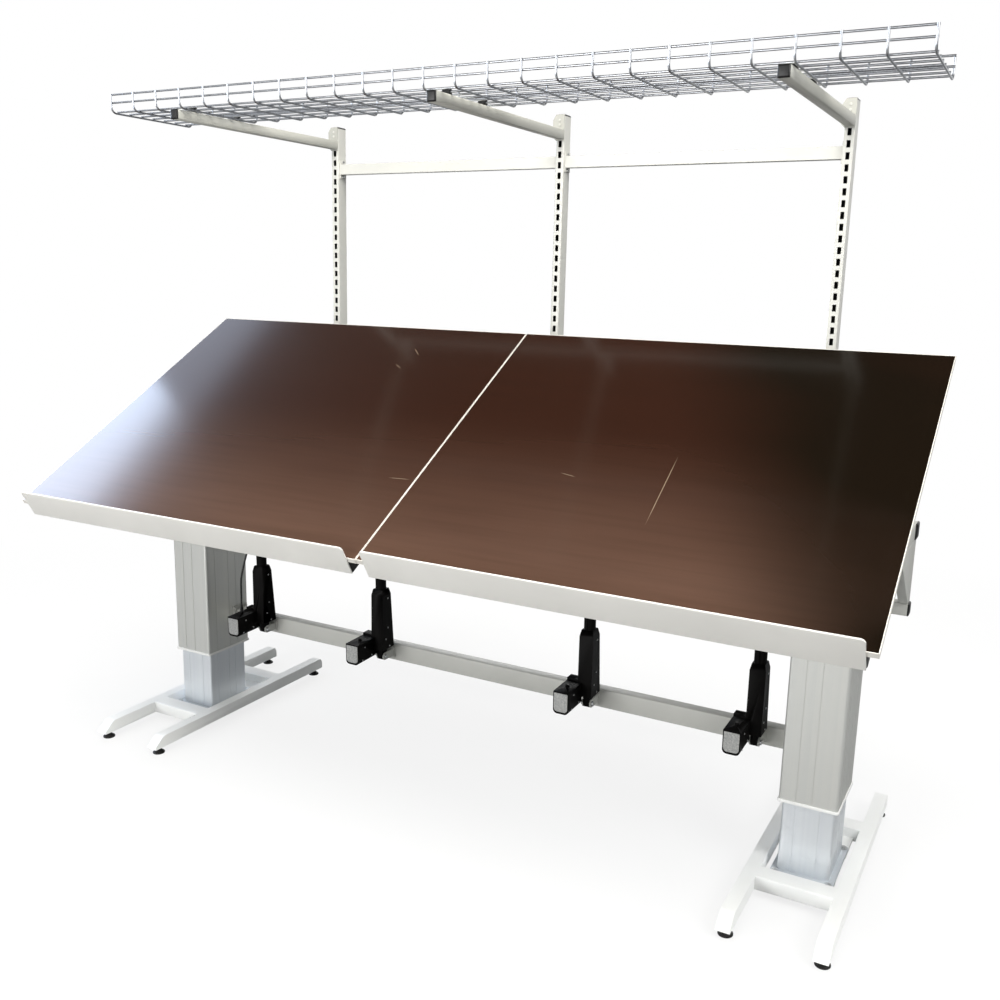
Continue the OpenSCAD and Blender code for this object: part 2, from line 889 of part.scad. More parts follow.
// Control box under the middle beam, and the gland where the tilt cable goes in
module control_box() {
    end = cable_route[len(cable_route) - 1];
    color("dimgray") at_origin() {
        translate([-box_w / 2, middle_y + frame_d / 2 - box_d / 2, frame_z - box_h])
            cube([box_w, box_d, box_h]);
        translate([end.x, end.y, frame_z - gland_h]) cylinder(r = gland_r, h = gland_h);
    }
}

// Tilting tops, drawn about their pivot

module at_top(side) {
    tilted() mirror([side < 0 ? 1 : 0, 0, 0]) translate([seam_gap / 2, 0, 0]) children();
}

module panel(side) {
    color("saddlebrown") at_top(side)
        translate([edge_t, -pivot_setback + edge_t, top_tube / 2])
            cube([top_w - 2 * edge_t, top_d - 2 * edge_t, ply_t]);
}

module edge_band(side) {
    color("ivory") at_top(side) translate([0, -pivot_setback, top_tube / 2]) difference() {
        cube([top_w, top_d, ply_t]);
        translate([edge_t, edge_t, -cut])
            cube([top_w - 2 * edge_t, top_d - 2 * edge_t, ply_t + 2 * cut]);
    }
}

module lip(side) {
    l = top_w - 2 * lip_inset;
    h = lip_top + top_tube / 2;
    color("gainsboro") at_top(side) translate([lip_inset, -pivot_setback, -top_tube / 2])
        along_front(lip_t) {
            square([l, h - lip_r]);
            translate([lip_r, 0]) square([l - 2 * lip_r, h]);
            for (x = [lip_r, l - lip_r]) translate([x, h - lip_r]) circle(lip_r);
        }
}

// Actuators of one top, numbered from the left
function pair(side) = side < 0 ? [0, 1] : [2, 3];

module tilt_frame(side) {
    l = top_w - 2 * top_inset;
    front = -pivot_setback;
    rear = top_d - pivot_setback - rear_setback - top_tube;
    color("whitesmoke") at_top(side) for (y = [front, rear])
        translate([top_inset, y, -top_tube / 2]) tube_x(l, top_tube, top_tube, top_wall);
    color("whitesmoke") at_top(side) for (x = [top_inset, top_w - top_inset - top_tube])
        translate([x, front + top_tube, -top_tube / 2])
            tube_y(top_tube, rear - front - top_tube, top_tube, top_wall);
    color("whitesmoke") tilted() for (i = pair(side)) translate([actuator_x[i], 0, 0])
        pivot_tube(front + top_tube, rear);
}

// Tube that carries a hinge bush at the pivot and the rod bracket further back
module pivot_tube(front, rear) {
    difference() {
        union() {
            translate([-top_tube / 2, front, -top_tube / 2])
                tube_y(top_tube, rear - front, top_tube, top_wall);
            translate([-top_tube / 2, 0, 0]) rotate([0, 90, 0])
                cylinder(r = hinge_bush_r, h = top_tube);
        }
        translate([-top_tube / 2 - cut, 0, 0]) rotate([0, 90, 0])
            cylinder(r = pin_r + pin_fit, h = top_tube + 2 * cut);
    }
}

module tilt_caps(side) {
    rear = top_d - pivot_setback - rear_setback - top_tube;
    color("black") at_top(side) for (y = [-pivot_setback, rear]) {
        translate([top_inset, y, -top_tube / 2]) cap_left(top_tube, top_tube, top_wall);
        translate([top_w - top_inset, y, -top_tube / 2])
            cap_right(top_tube, top_tube, top_wall);
    }
}

// Slot in which the rod's pin drifts as the top tilts
module rod_slot(l) {
    rotate([slot_angle, 0, 0]) translate([0, 0, slot_across / 2]) {
        for (y = [-slot_drift, 0]) translate([0, y, 0]) rotate([0, 90, 0])
            cylinder(r = rod_slot_r, h = l);
        translate([0, -slot_drift, -rod_slot_r]) cube([l, slot_drift, 2 * rod_slot_r]);
    }
}

module rod_bracket() {
    difference() {
        translate([0, -bracket_front, -bracket_below])
            cube([bracket_t, bracket_front + bracket_back, rod_drop - top_tube / 2 + bracket_below]);
        translate([-cut, 0, 0]) rod_slot(bracket_t + 2 * cut);
    }
}

module rod_brackets(side) {
    color("whitesmoke") tilted() for (i = pair(side), flip = [0, 1])
        translate([actuator_x[i], rod_back, -rod_drop]) mirror([flip, 0, 0])
            translate([bracket_gap, 0, 0]) rod_bracket();
}

// Actuators, drawn about their lower pivot

// Body seen from its side, flaring towards the lower end
module body_outline() {
    half = body_d / 2;
    polygon([[-half - body_flare, body_low], [half + body_swell, body_low],
        [half, body_high - shoulder_h],
        [half - shoulder_in, body_high], [shoulder_in - half, body_high],
        [-half, body_high - shoulder_h]]);
}

// Body seen from the front, with shoulders that slope in to the neck
module body_front() {
    half = body_w / 2;
    polygon([[-half, body_low], [half, body_low], [half, body_high - shoulder_h],
        [half - shoulder_in, body_high], [shoulder_in - half, body_high],
        [-half, body_high - shoulder_h]]);
}

module actuator_housing(i) {
    color("black") at_actuator(i) {
        difference() {
            union() {
                intersection() {
                    translate([-body_w / 2, 0, 0]) along_x(body_w) body_outline();
                    translate([0, body_d, 0]) along_front(2 * body_d) body_front();
                }
                cylinder(r = neck_r, h = neck_top);
                translate([-tab_w / 2, 0, 0]) along_x(tab_w) {
                    circle(ear_r);
                    translate([-ear_r, 0]) square([2 * ear_r, body_low]);
                }
            }
            translate([0, 0, bore_low]) cylinder(r = rod_r + pin_fit, h = neck_top);
            translate([-body_w, 0, 0]) rotate([0, 90, 0])
                cylinder(r = eye_pin_r + pin_fit, h = 2 * body_w);
            for (side = [0, 1]) mirror([side, 0, 0])
                translate([tab_w / 2, -body_d, -body_d]) cube([body_w, 2 * body_d, body_d + body_low]);
        }
        motor();
    }
}

// Motor box in front of the body and along its left side, with the cable's strain relief
module motor() {
    front = -body_d / 2 - motor_reach;
    left = -motor_gap - motor_w;
    translate([left, front, motor_low]) cube([motor_w, motor_reach, motor_h]);
    translate([left, -body_d / 2, motor_low])
        cube([motor_w + motor_gap - body_w / 2, motor_back, motor_h + motor_hump]);
    translate([relief_x, relief_y, motor_low + motor_h]) cylinder(r = relief_r, h = relief_h);
}

module actuator_rod(i) {
    color("silver") at_actuator(i) {
        translate([0, 0, actuator_l - rod_l]) cylinder(r = rod_r, h = rod_l);
        translate([0, 0, actuator_l]) {
            translate([-tab_w / 2, 0, 0]) rotate([0, 90, 0]) cylinder(r = rod_eye_r, h = tab_w);
            pin(pin_r, rod_pin_out - rod_washer_t, rod_washer_r, rod_washer_t);
        }
    }
}

// Tilt cable: a tube swept along a smooth curve through the route's points

function clamped(i) = cable_route[max(0, min(len(cable_route) - 1, i))];
function curve(a, b, c, d, t) = 0.5 * (2 * b + (c - a) * t + (2 * a - 5 * b + 4 * c - d) * t * t
    + (3 * b - a - 3 * c + d) * t * t * t);
function route_at(u) = let (i = min(floor(u), len(cable_route) - 2))
    curve(clamped(i - 1), clamped(i), clamped(i + 1), clamped(i + 2), u - i);
function unit(v) = v / norm(v);

module tilt_cable() {
    rings = (len(cable_route) - 1) * cable_steps + 1;
    centres = [for (i = [0 : rings - 1]) route_at(i / cable_steps)];
    points = [for (i = [0 : rings - 1]) let (
            along = unit(centres[min(rings - 1, i + 1)] - centres[max(0, i - 1)]),
            side = unit(cross(along, [1, 0, 0])),
            other = cross(along, side))
        for (k = [0 : cable_sides - 1])
            centres[i] + cable_r * (cos(k * 360 / cable_sides) * side
                + sin(k * 360 / cable_sides) * other)];
    sides = [for (i = [0 : rings - 2], k = [0 : cable_sides - 1]) let (
            a = i * cable_sides + k,
            b = i * cable_sides + (k + 1) % cable_sides)
        for (face = [[a, b + cable_sides, b], [a, a + cable_sides, b + cable_sides]]) face];
    first = [for (k = [0 : cable_sides - 1]) k];
    last = [for (k = [cable_sides - 1 : -1 : 0]) (rings - 1) * cable_sides + k];
    color("black") at_origin() polyhedron(points, concat(sides, [first, last]));
}

foot_bars(-1);  // left_foot_bars
foot_bars(1);  // right_foot_bars
foot_crossbars(-1);  // left_foot_crossbars
foot_crossbars(1);  // right_foot_crossbars
base_plates();
base_bolts();
levelling_feet();
inner_column(-1);  // left_inner_column
inner_column(1);  // right_inner_column
column_glides();
lift_cylinders();
outer_column(-1);  // left_outer_column
outer_column(1);  // right_outer_column
column_collars();
lift_rods();
head_plates();
side_tubes();
inner_tube(front_tube_y);  // front_tube
inner_tube(middle_y);  // middle_beam
rear_upper_tube();
rear_lower_tube();
frame_caps();
gussets();
hinge_lugs();
pivot_pins();
low_crossbeam();
crossbeam_ends();
actuator_clevises();
upright(upright_xs[0]);  // left_upright
upright(upright_xs[1]);  // middle_upright
upright(upright_xs[2]);  // right_upright
back_frame_caps();
back_beams();
beam_screws();
tray_arms();
cable_tray();
tray_clips();
control_box();
panel(-1);  // left_panel
edge_band(-1);  // left_edge_band
lip(-1);  // left_lip
tilt_frame(-1);  // left_tilt_frame
tilt_caps(-1);  // left_tilt_caps
rod_brackets(-1);  // left_rod_brackets
panel(1);  // right_panel
edge_band(1);  // right_edge_band
lip(1);  // right_lip
tilt_frame(1);  // right_tilt_frame
tilt_caps(1);  // right_tilt_caps
rod_brackets(1);  // right_rod_brackets
actuator_housing(0);  // actuator_housing_1
actuator_housing(1);  // actuator_housing_2
actuator_housing(2);  // actuator_housing_3
actuator_housing(3);  // actuator_housing_4
actuator_rod(0);  // actuator_rod_1
actuator_rod(1);  // actuator_rod_2
actuator_rod(2);  // actuator_rod_3
actuator_rod(3);  // actuator_rod_4
tilt_cable();
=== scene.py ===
import json
import math

import bmesh
import bpy
from mathutils import Matrix, Vector


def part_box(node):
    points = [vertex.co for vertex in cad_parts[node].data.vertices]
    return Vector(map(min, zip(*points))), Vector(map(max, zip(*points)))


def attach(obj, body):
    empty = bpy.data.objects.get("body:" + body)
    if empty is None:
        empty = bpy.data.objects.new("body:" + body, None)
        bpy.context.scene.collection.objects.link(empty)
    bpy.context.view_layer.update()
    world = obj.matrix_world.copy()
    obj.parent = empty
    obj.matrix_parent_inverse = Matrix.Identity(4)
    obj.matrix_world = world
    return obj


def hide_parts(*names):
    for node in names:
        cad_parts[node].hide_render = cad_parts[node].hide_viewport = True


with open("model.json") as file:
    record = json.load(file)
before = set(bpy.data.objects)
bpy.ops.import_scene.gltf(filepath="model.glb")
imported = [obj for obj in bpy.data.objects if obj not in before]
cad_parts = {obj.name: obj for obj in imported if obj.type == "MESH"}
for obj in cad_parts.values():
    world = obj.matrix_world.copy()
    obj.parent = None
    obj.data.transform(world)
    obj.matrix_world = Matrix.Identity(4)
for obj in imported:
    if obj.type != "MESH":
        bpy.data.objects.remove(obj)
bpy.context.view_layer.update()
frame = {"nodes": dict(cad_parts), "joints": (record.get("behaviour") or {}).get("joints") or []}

nodes = frame["nodes"]
joints = {joint["name"]: joint for joint in frame["joints"]}
mm = 0.001
print("Frame loaded:", len(nodes), "nodes")

# Camera at the photograph's view, in metres, degrees and a lens in mm: turned left, looking down

cameraView = {
    "place": (1.5900, -2.7492, 1.6358),
    "turn": 28.16,
    "down": 12.00,
    "roll": 1.32,
    "lens": 37.22,
    "shift": (-0.00275, -0.0039),
    "reach": 60,
}


def placeCamera(view):
    turn, down, roll = (math.radians(view[key]) for key in ("turn", "down", "roll"))
    ahead = Vector((-math.sin(turn) * math.cos(down), math.cos(turn) * math.cos(down),
        -math.sin(down)))
    right = Vector((math.cos(turn), math.sin(turn), 0))
    up = right.cross(ahead)
    tiltedRight = right * math.cos(roll) + up * math.sin(roll)
    tiltedUp = up * math.cos(roll) - right * math.sin(roll)
    data = bpy.data.cameras.new("photoCamera")
    data.lens = view["lens"]
    data.shift_x, data.shift_y = view["shift"]
    data.clip_end = view["reach"]
    camera = bpy.data.objects.new("photoCamera", data)
    axes = Matrix((tiltedRight, tiltedUp, -ahead)).transposed().to_4x4()
    camera.matrix_world = Matrix.Translation(view["place"]) @ axes
    bpy.context.scene.collection.objects.link(camera)
    bpy.context.scene.camera = camera


placeCamera(cameraView)
bpy.context.scene.view_settings.view_transform = "Standard"
print("Camera placed")

# Materials


def linear(code):
    # sRGB hex to linear colour
    channels = [int(code[i:i + 2], 16) / 255 for i in (1, 3, 5)]
    return (*(c / 12.92 if c <= 0.04045 else ((c + 0.055) / 1.055) ** 2.4 for c in channels), 1)


def addNode(tree, kind, inputs=None, **settings):
    node = tree.nodes.new(kind)
    for name, value in settings.items():
        setattr(node, name, value)
    for name, value in (inputs or {}).items():
        if isinstance(value, bpy.types.NodeSocket):
            tree.links.new(value, node.inputs[name])
        else:
            node.inputs[name].default_value = value
    return node


def calculate(tree, operation, *values):
    return addNode(tree, "ShaderNodeMath", dict(enumerate(values)), operation=operation).outputs[0]


def perSize(size):
    # noise scale for a pattern of that size in millimetres
    return 1000 / size


def startMaterial(name, **values):
    material = bpy.data.materials.new(name)
    material.use_nodes = True
    tree = material.node_tree
    surface = tree.nodes["Principled BSDF"]
    for socket, value in values.items():
        surface.inputs[socket.replace("_", " ")].default_value = value
    place = addNode(tree, "ShaderNodeTexCoord").outputs["Object"]
    return material, tree, surface, place


def blendColours(tree, amount, first, second):
    mix = addNode(tree, "ShaderNodeMix", data_type="RGBA")
    for index, value in ((0, amount), (6, first), (7, second)):
        if isinstance(value, bpy.types.NodeSocket):
            tree.links.new(value, mix.inputs[index])
        else:
            mix.inputs[index].default_value = value
    return mix.outputs[2]


def noise(tree, place, size, detail=3.0, stretch=None):
    if stretch:
        place = addNode(tree, "ShaderNodeMapping", {"Vector": place, "Scale": stretch}).outputs[0]
    return addNode(tree, "ShaderNodeTexNoise",
        {"Vector": place, "Scale": perSize(size), "Detail": detail}).outputs["Fac"]


def spread(tree, value, low, high, lowTo, highTo, kind="LINEAR"):
    return addNode(tree, "ShaderNodeMapRange", {"Value": value, "From Min": low, "From Max": high,
        "To Min": lowTo, "To Max": highTo}, interpolation_type=kind).outputs[0]


def clouded(tree, surface, place, size, colour, shade):
    cloud = spread(tree, noise(tree, place, size), 0.35, 0.65, 0.0, 1.0)
    tree.links.new(blendColours(tree, cloud, linear(colour), linear(shade)),
        surface.inputs["Base Color"])


def grained(tree, surface, place, size, smoothest, roughest, strength, depth):
    # a fine relief, depth in mm, that also breaks up the gloss
    grain = noise(tree, place, size, detail=2)
    tree.links.new(spread(tree, grain, 0.3, 0.7, smoothest, roughest), surface.inputs["Roughness"])
    relief = addNode(tree, "ShaderNodeBump",
        {"Height": grain, "Strength": strength, "Distance": depth * mm})
    tree.links.new(relief.outputs[0], surface.inputs["Normal"])


powder = {"rough": 0.42, "ior": 1.5, "cloud": 260, "peel": 2.2, "smoothest": 0.36,
    "roughest": 0.48, "strength": 0.16, "depth": 0.25}


def powderCoat(name, colour, shade):
    # sprayed and baked polyester: satin, with an orange peel about 2 mm across
    material, tree, surface, place = startMaterial(name, Roughness=powder["rough"],
        IOR=powder["ior"])
    clouded(tree, surface, place, powder["cloud"], colour, shade)
    grained(tree, surface, place, powder["peel"], powder["smoothest"], powder["roughest"],
        powder["strength"], powder["depth"])
    return material


anodising = {"metallic": 0.7, "lineSize": 10, "lineStretch": (1, 1, 0.004)}


def anodised(name, colour, shade, rough):
    # extruded aluminium, etched and anodised: faint vertical draw lines about 5 mm apart
    material, tree, surface, place = startMaterial(name, Metallic=anodising["metallic"],
        Roughness=rough)
    lines = noise(tree, place, anodising["lineSize"], detail=2, stretch=anodising["lineStretch"])
    tint = spread(tree, lines, 0.3, 0.7, 0.0, 1.0)
    tree.links.new(blendColours(tree, tint, linear(colour), linear(shade)),
        surface.inputs["Base Color"])
    return material


plating = {"cloud": 6, "grit": 0.9, "smoother": 0.08, "rougher": 0.1, "strength": 0.12,
    "depth": 0.08}


def zincPlated(name, colour, shade, rough):
    # electroplated steel: bright, with faint cloudy spangle about 6 mm across
    material, tree, surface, place = startMaterial(name, Metallic=1.0, Roughness=rough)
    clouded(tree, surface, place, plating["cloud"], colour, shade)
    grained(tree, surface, place, plating["grit"], rough - plating["smoother"],
        rough + plating["rougher"], plating["strength"], plating["depth"])
    return material


moulding = {"ior": 1.45, "cloud": 45, "smoother": 0.07, "rougher": 0.09, "strength": 0.2,
    "depth": 0.12}


def mouldedPlastic(name, colour, shade, rough, grain, gloss=0.5):
    # injection moulded, with an eroded grain
    material, tree, surface, place = startMaterial(name, Roughness=rough, IOR=moulding["ior"],
        Specular_IOR_Level=gloss)
    clouded(tree, surface, place, moulding["cloud"], colour, shade)
    grained(tree, surface, place, grain, rough - moulding["smoother"],
        rough + moulding["rougher"], moulding["strength"], moulding["depth"])
    return material


feetPaint = powderCoat("whitePowderCoat", "#f8f9f7", "#f4f5f3")
framePaint = powderCoat("offWhitePowderCoat", "#c9c9c3", "#c3c3bd")
lipPaint = powderCoat("creamPowderCoat", "#e4e2dc", "#dddbd5")
beamPaint = powderCoat("greyWhitePowderCoat", "#c2c2bc", "#babab4")
# painted shade: a darker copy of the frame paint on the tray arms
shadedFramePaint = powderCoat("shadedFramePowderCoat", "#adada6", "#a5a59e")
platePaint = powderCoat("paleGreyPaint", "#cdd2d7", "#c3c9cf")
cylinderPaint = powderCoat("darkGreyEnamel", "#3a3b3e", "#333437")
# painted shade: near-black on the uprights' inner faces, for the shade inside the tube
paintedTubeShade = powderCoat("paintedShadeTubeInside", "#100f0f", "#0a0a0a")
outerAluminium = anodised("anodisedAluminium", "#d8d8d3", "#d3d4d0", 0.40)
innerAluminium = anodised("brightAnodisedAluminium", "#e9edf0", "#e4e8ec", 0.40)
zinc = zincPlated("zincPlatedSteel", "#cfd0d0", "#b7b9bb", 0.30)
wireZinc = zincPlated("galvanisedWire", "#bfc1c5", "#adb0b5", 0.30)
chrome = zincPlated("hardChrome", "#dadcdd", "#d2d4d6", 0.14)
actuatorPlastic = mouldedPlastic("blackGlassFilledNylon", "#070606", "#0b0a09", 0.50, 0.8, 0.08)
capPlastic = mouldedPlastic("blackPolyethylene", "#0a0a0a", "#101010", 0.36, 1.2)
boxPlastic = mouldedPlastic("blackAbs", "#18181a", "#1f1f21", 0.46, 0.9)
collarPlastic = mouldedPlastic("whiteAcetal", "#f6f6f4", "#f0f0ed", 0.34, 1.0)
edgePlastic = mouldedPlastic("whiteEdgeBand", "#dedbd4", "#d6d2ca", 0.38, 1.4)
padRubber = mouldedPlastic("blackRubber", "#12100f", "#191716", 0.62, 1.1)
cableJacket = mouldedPlastic("blackPvcSheath", "#101010", "#171717", 0.45, 1.6)
labelFoil = zincPlated("brushedFoil", "#cfcfcc", "#b4b5b4", 0.32)
print("Plain materials made")

# Film on the tops: painted light makes them paler towards the front, painted shade darker to the
# rear right (metres), clouds in mm
filmFace = {
    # light is the colour of the painted light at the front; dark is the veneer grain's colour and
    # also the painted shade to the rear right
    "light": "#513c31",
    "middle": "#2a170f",
    "dark": "#120c06",
    "scratch": "#84735f",
    "ior": 1.45,
    "gloss": 0.30,
    "rough": 0.14,
    "scratchRough": 0.2,
    "cloudSize": 420,
    "cloudStretch": (0.45, 1, 1),
    "uneven": (0.75, 1.25),
    "paintedLightFrom": 0.0,
    "paintedLightTo": -0.68,
    "paintedShadeWay": (1.0, 0.5, 0.0),
    "paintedShadeFrom": 0.60,
    "paintedShadeTo": 1.10,
    "grainSize": 20,
    "grainStretch": (0.05, 1, 1),
    "grainShare": 0.15,
}
topTilt = math.radians(30)

# Scratches in the film: middle in metres, turn in degrees about X then Z, length and width in mm
longScratches = [
    {"middle": (0.713, -0.240, 1.112), "turn": -1, "length": 285, "width": 2.4},
    {"middle": (0.438, -0.228, 1.119), "turn": -79, "length": 50, "width": 1.8},
    {"middle": (-0.055, -0.317, 1.067), "turn": 87, "length": 74, "width": 2.0},
    {"middle": (-0.355, 0.234, 1.385), "turn": -44, "length": 56, "width": 2.2},
    {"middle": (-0.377, 0.155, 1.340), "turn": -57, "length": 38, "width": 2.0},
]


def scratchMask(tree, place, scratch):
    # 1 on a thin line on the tilted surface, 0 elsewhere
    centred = addNode(tree, "ShaderNodeVectorMath",
        {0: place, 1: tuple(-c for c in scratch["middle"])}, operation="ADD").outputs[0]
    flat = addNode(tree, "ShaderNodeVectorRotate", {"Vector": centred, "Angle": -topTilt},
        rotation_type="X_AXIS").outputs[0]
    turned = addNode(tree, "ShaderNodeVectorRotate",
        {"Vector": flat, "Angle": math.radians(scratch["turn"])}, rotation_type="Z_AXIS").outputs[0]
    parts = addNode(tree, "ShaderNodeSeparateXYZ", {0: turned})
    masks = []
    for axis, size in (("X", scratch["width"]), ("Y", scratch["length"])):
        half = size * mm / 2
        away = calculate(tree, "ABSOLUTE", parts.outputs[axis])
        masks.append(spread(tree, away, half * 0.5, half, 1.0, 0.0))
    return calculate(tree, "MULTIPLY", *masks)


def filmFacedPlywood():
    # birch plywood under a hot-pressed phenolic film: dark, glossy, clouded by the veneer, scuffed,
    # with painted light towards the front and painted shade to the rear right
    film = filmFace
    material, tree, surface, place = startMaterial("phenolicFilm", IOR=film["ior"],
        Roughness=film["rough"], Specular_IOR_Level=film["gloss"])
    dark = linear(film["dark"])
    cloud = noise(tree, place, film["cloudSize"], detail=2, stretch=film["cloudStretch"])
    uneven = spread(tree, cloud, 0.2, 0.8, *film["uneven"])
    # painted light: paler towards the front edge, clouded
    forward = addNode(tree, "ShaderNodeSeparateXYZ", {0: place}).outputs["Y"]
    paintedFrontLight = spread(tree, forward, film["paintedLightFrom"], film["paintedLightTo"], 0.0, 1.0, "SMOOTHSTEP")
    colour = blendColours(tree, calculate(tree, "MULTIPLY", paintedFrontLight, uneven),
        linear(film["middle"]), linear(film["light"]))
    # painted shade: darker towards the rear right, clouded
    across = addNode(tree, "ShaderNodeVectorMath", {0: place, 1: film["paintedShadeWay"]},
        operation="DOT_PRODUCT").outputs["Value"]
    darker = spread(tree, across, film["paintedShadeFrom"], film["paintedShadeTo"], 0.0, 1.0, "SMOOTHSTEP")
    colour = blendColours(tree, calculate(tree, "MULTIPLY", darker, uneven), colour, dark)
    grain = noise(tree, place, film["grainSize"], detail=2, stretch=film["grainStretch"])
    veneer = spread(tree, grain, 0.4, 0.8, 0.0, film["grainShare"])
    colour = blendColours(tree, veneer, colour, dark)
    marks = scratchMask(tree, place, longScratches[0])
    for scratch in longScratches[1:]:
        marks = calculate(tree, "MAXIMUM", marks, scratchMask(tree, place, scratch))
    tree.links.new(blendColours(tree, marks, colour, linear(film["scratch"])),
        surface.inputs["Base Color"])
    tree.links.new(calculate(tree, "MULTIPLY_ADD", marks, film["scratchRough"], film["rough"]),
        surface.inputs["Roughness"])
    return material


filmPlywood = filmFacedPlywood()
print("Film-faced plywood made")

# Helpers for pieces

# CAD meshes: vertices nearer than join (mm) are one, faces within flat (degrees) are one
cleaning = {"join": 0.02, "flat": 0.8}


def finishPiece(name, bm, material, body, replaced=(), angle=38, outward=True):
    if outward:
        bmesh.ops.recalc_face_normals(bm, faces=bm.faces)
    mesh = bpy.data.meshes.new(name)
    bm.to_mesh(mesh)
    bm.free()
    mesh.polygons.foreach_set("use_smooth", [True] * len(mesh.polygons))
    mesh.set_sharp_from_angle(angle=math.radians(angle))
    mesh.materials.append(material)
    piece = bpy.data.objects.new(name, mesh)
    bpy.context.scene.collection.objects.link(piece)
    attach(piece, body)
    if replaced:
        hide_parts(*replaced)
    return piece


def mergedCopy(node):
    # a CAD node's loose triangles, joined into clean flat faces
    bm = bmesh.new()
    bm.from_mesh(nodes[node].data)
    bmesh.ops.remove_doubles(bm, verts=bm.verts, dist=cleaning["join"] * mm)
    bmesh.ops.dissolve_limit(bm, angle_limit=math.radians(cleaning["flat"]), verts=bm.verts,
        edges=bm.edges)
    return bm


def bevelEdges(bm, edges, width, segments=2):
    if edges:
        bmesh.ops.bevel(bm, geom=edges, offset=width * mm, offset_type="OFFSET", affect="EDGES",
            segments=segments, profile=0.5, material=-1, clamp_overlap=True)


def sharpEdges(bm, longerThan=0, above=35):
    # outward edges; the length in mm leaves out holes and a tube's thin end faces
    limit = math.radians(above)
    return [edge for edge in bm.edges if len(edge.link_faces) == 2
        and edge.calc_length() > longerThan * mm and edge.calc_face_angle_signed() > limit]


def soften(name, node, width, longerThan, material, body, slot, segments=3):
    bm = mergedCopy(node)
    bevelEdges(bm, sharpEdges(bm, longerThan), width, segments)
    return finishPiece(name, bm, material, body, (node,), outward=False)


def islands(node, space=None):
    # lowest and highest corner of each solid in a node, in a space of its own
    bm = mergedCopy(node)
    toSpace = (space or Matrix.Identity(4)).inverted()
    left, found = set(bm.verts), []
    while left:
        group, queue = set(), [left.pop()]
        while queue:
            vert = queue.pop()
            group.add(vert)
            for edge in vert.link_edges:
                other = edge.other_vert(vert)
                if other in left:
                    left.discard(other)
                    queue.append(other)
        points = [toSpace @ vert.co for vert in group]
        found.append((Vector(min(p[i] for p in points) for i in range(3)),
            Vector(max(p[i] for p in points) for i in range(3))))
    bm.free()
    return sorted(found, key=lambda box: tuple(round(c, 4) for c in box[0]))


def facing(direction, middle):
    # a space with its Z along a direction, at a point
    turn = Vector(direction).to_track_quat("Z", "Y").to_matrix().to_4x4()
    return Matrix.Translation(middle) @ turn


# Spaces of the moving pieces


def topSpace(side):
    pivot = Vector(joints[side + "_top_tilt"]["pos_m"])
    return Matrix.Translation(pivot) @ Matrix.Rotation(topTilt, 4, "X")


def actuatorSpace(number):
    swing, slide = joints["housing_swing_%d" % number], joints["rod_slide_%d" % number]
    lean = math.atan2(-slide["axis"][1], slide["axis"][2])
    return Matrix.Translation(swing["pos_m"]) @ Matrix.Rotation(lean, 4, "X")


# Tilt cable: from the left motor's relief up into the gland under the lifting frame, in metres;
# the shift puts its route's Y into the frame

cable = {
    "route": [(-0.895, -0.088, 0.438), (-0.895, -0.088, 0.500), (-0.895, -0.086, 0.560),
        (-0.891, -0.075, 0.610), (-0.888, -0.062, 0.650), (-0.888, -0.042, 0.710),
        (-0.888, -0.006, 0.770), (-0.888, 0.036, 0.814), (-0.888, 0.064, 0.842),
        (-0.888, 0.070, 0.858), (-0.888, 0.070, 0.8716)],
    "shift": 0.0191875,
    "diameter": 0.007,
    "steps": 3,
}


def cablePoints():
    route = [Vector(p) + Vector((0, cable["shift"], 0)) for p in cable["route"]]
    points = []
    last = len(route) - 1
    for i in range(last):
        a, b, c, d = (route[max(0, min(last, i + k))] for k in (-1, 0, 1, 2))
        for step in range(cable["steps"]):
            t = step / cable["steps"]
            points.append(0.5 * (2 * b + (c - a) * t + (2 * a - 5 * b + 4 * c - d) * t * t
                + (3 * b - a - 3 * c + d) * t * t * t))
    return points + [route[-1]]


def makeCable():
    points = cablePoints()
    curve = bpy.data.curves.new("tiltCable", "CURVE")
    curve.dimensions = "3D"
    curve.bevel_depth = cable["diameter"] / 2
    curve.bevel_resolution = 5
    curve.use_fill_caps = True
    spline = curve.splines.new("POLY")
    spline.points.add(len(points) - 1)
    for point, place in zip(spline.points, points):
        point.co = (*place, 1)
    spline.use_smooth = True
    curve.materials.append(cableJacket)
    piece = bpy.data.objects.new("tiltCable", curve)
    bpy.context.scene.collection.objects.link(piece)
    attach(piece, "housing_1")
    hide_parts("tilt_cable")
    length = sum((b - a).length for a, b in zip(points, points[1:]))
    return piece, points, length


tiltCable, cableLine, cableLength = makeCable()
print("Cable of %.0f mm made" % (cableLength / mm))


def ringsAlong(bm, path, rounds, sides=20):
    # closed shape of circles along Z: (height, radius) pairs, placed by a matrix
    rings = []
    for height, radius in rounds:
        made = bmesh.ops.create_circle(bm, segments=sides, radius=radius * mm,
            matrix=path @ Matrix.Translation((0, 0, height * mm)))["verts"]
        rings.append(made)
    edges = []
    for ring in rings:
        inside = set(ring)
        edges.append([e for v in ring for e in v.link_edges if e.other_vert(v) in inside])
    for lower, upper in zip(edges, edges[1:]):
        bmesh.ops.bridge_loops(bm, edges=list(set(lower) | set(upper)))
    for ends in (edges[0], edges[-1]):
        bmesh.ops.holes_fill(bm, edges=list(set(ends)), sides=sides)


# Relief of the cable, as heights and radii in mm
cableRelief = {"profile": [(-0.5, 6.3), (1.0, 7.0), (4.0, 7.0), (5.0, 5.6), (7.0, 5.6), (8.0, 6.4),
    (10.0, 6.4), (11.0, 5.1), (13.0, 5.1), (14.0, 5.7), (16.0, 5.7), (17.0, 4.6), (26.0, 3.9)]}


def makeCableRelief():
    bm = bmesh.new()
    ringsAlong(bm, Matrix.Translation(cableLine[0]), cableRelief["profile"])
    return finishPiece("cableRelief", bm, cableJacket, "housing_1")


relief = makeCableRelief()

# Painted and moulded pieces that keep the CAD shape, with rounded edges: name, node, radius and
# shortest edge to round (mm), material, body, slot

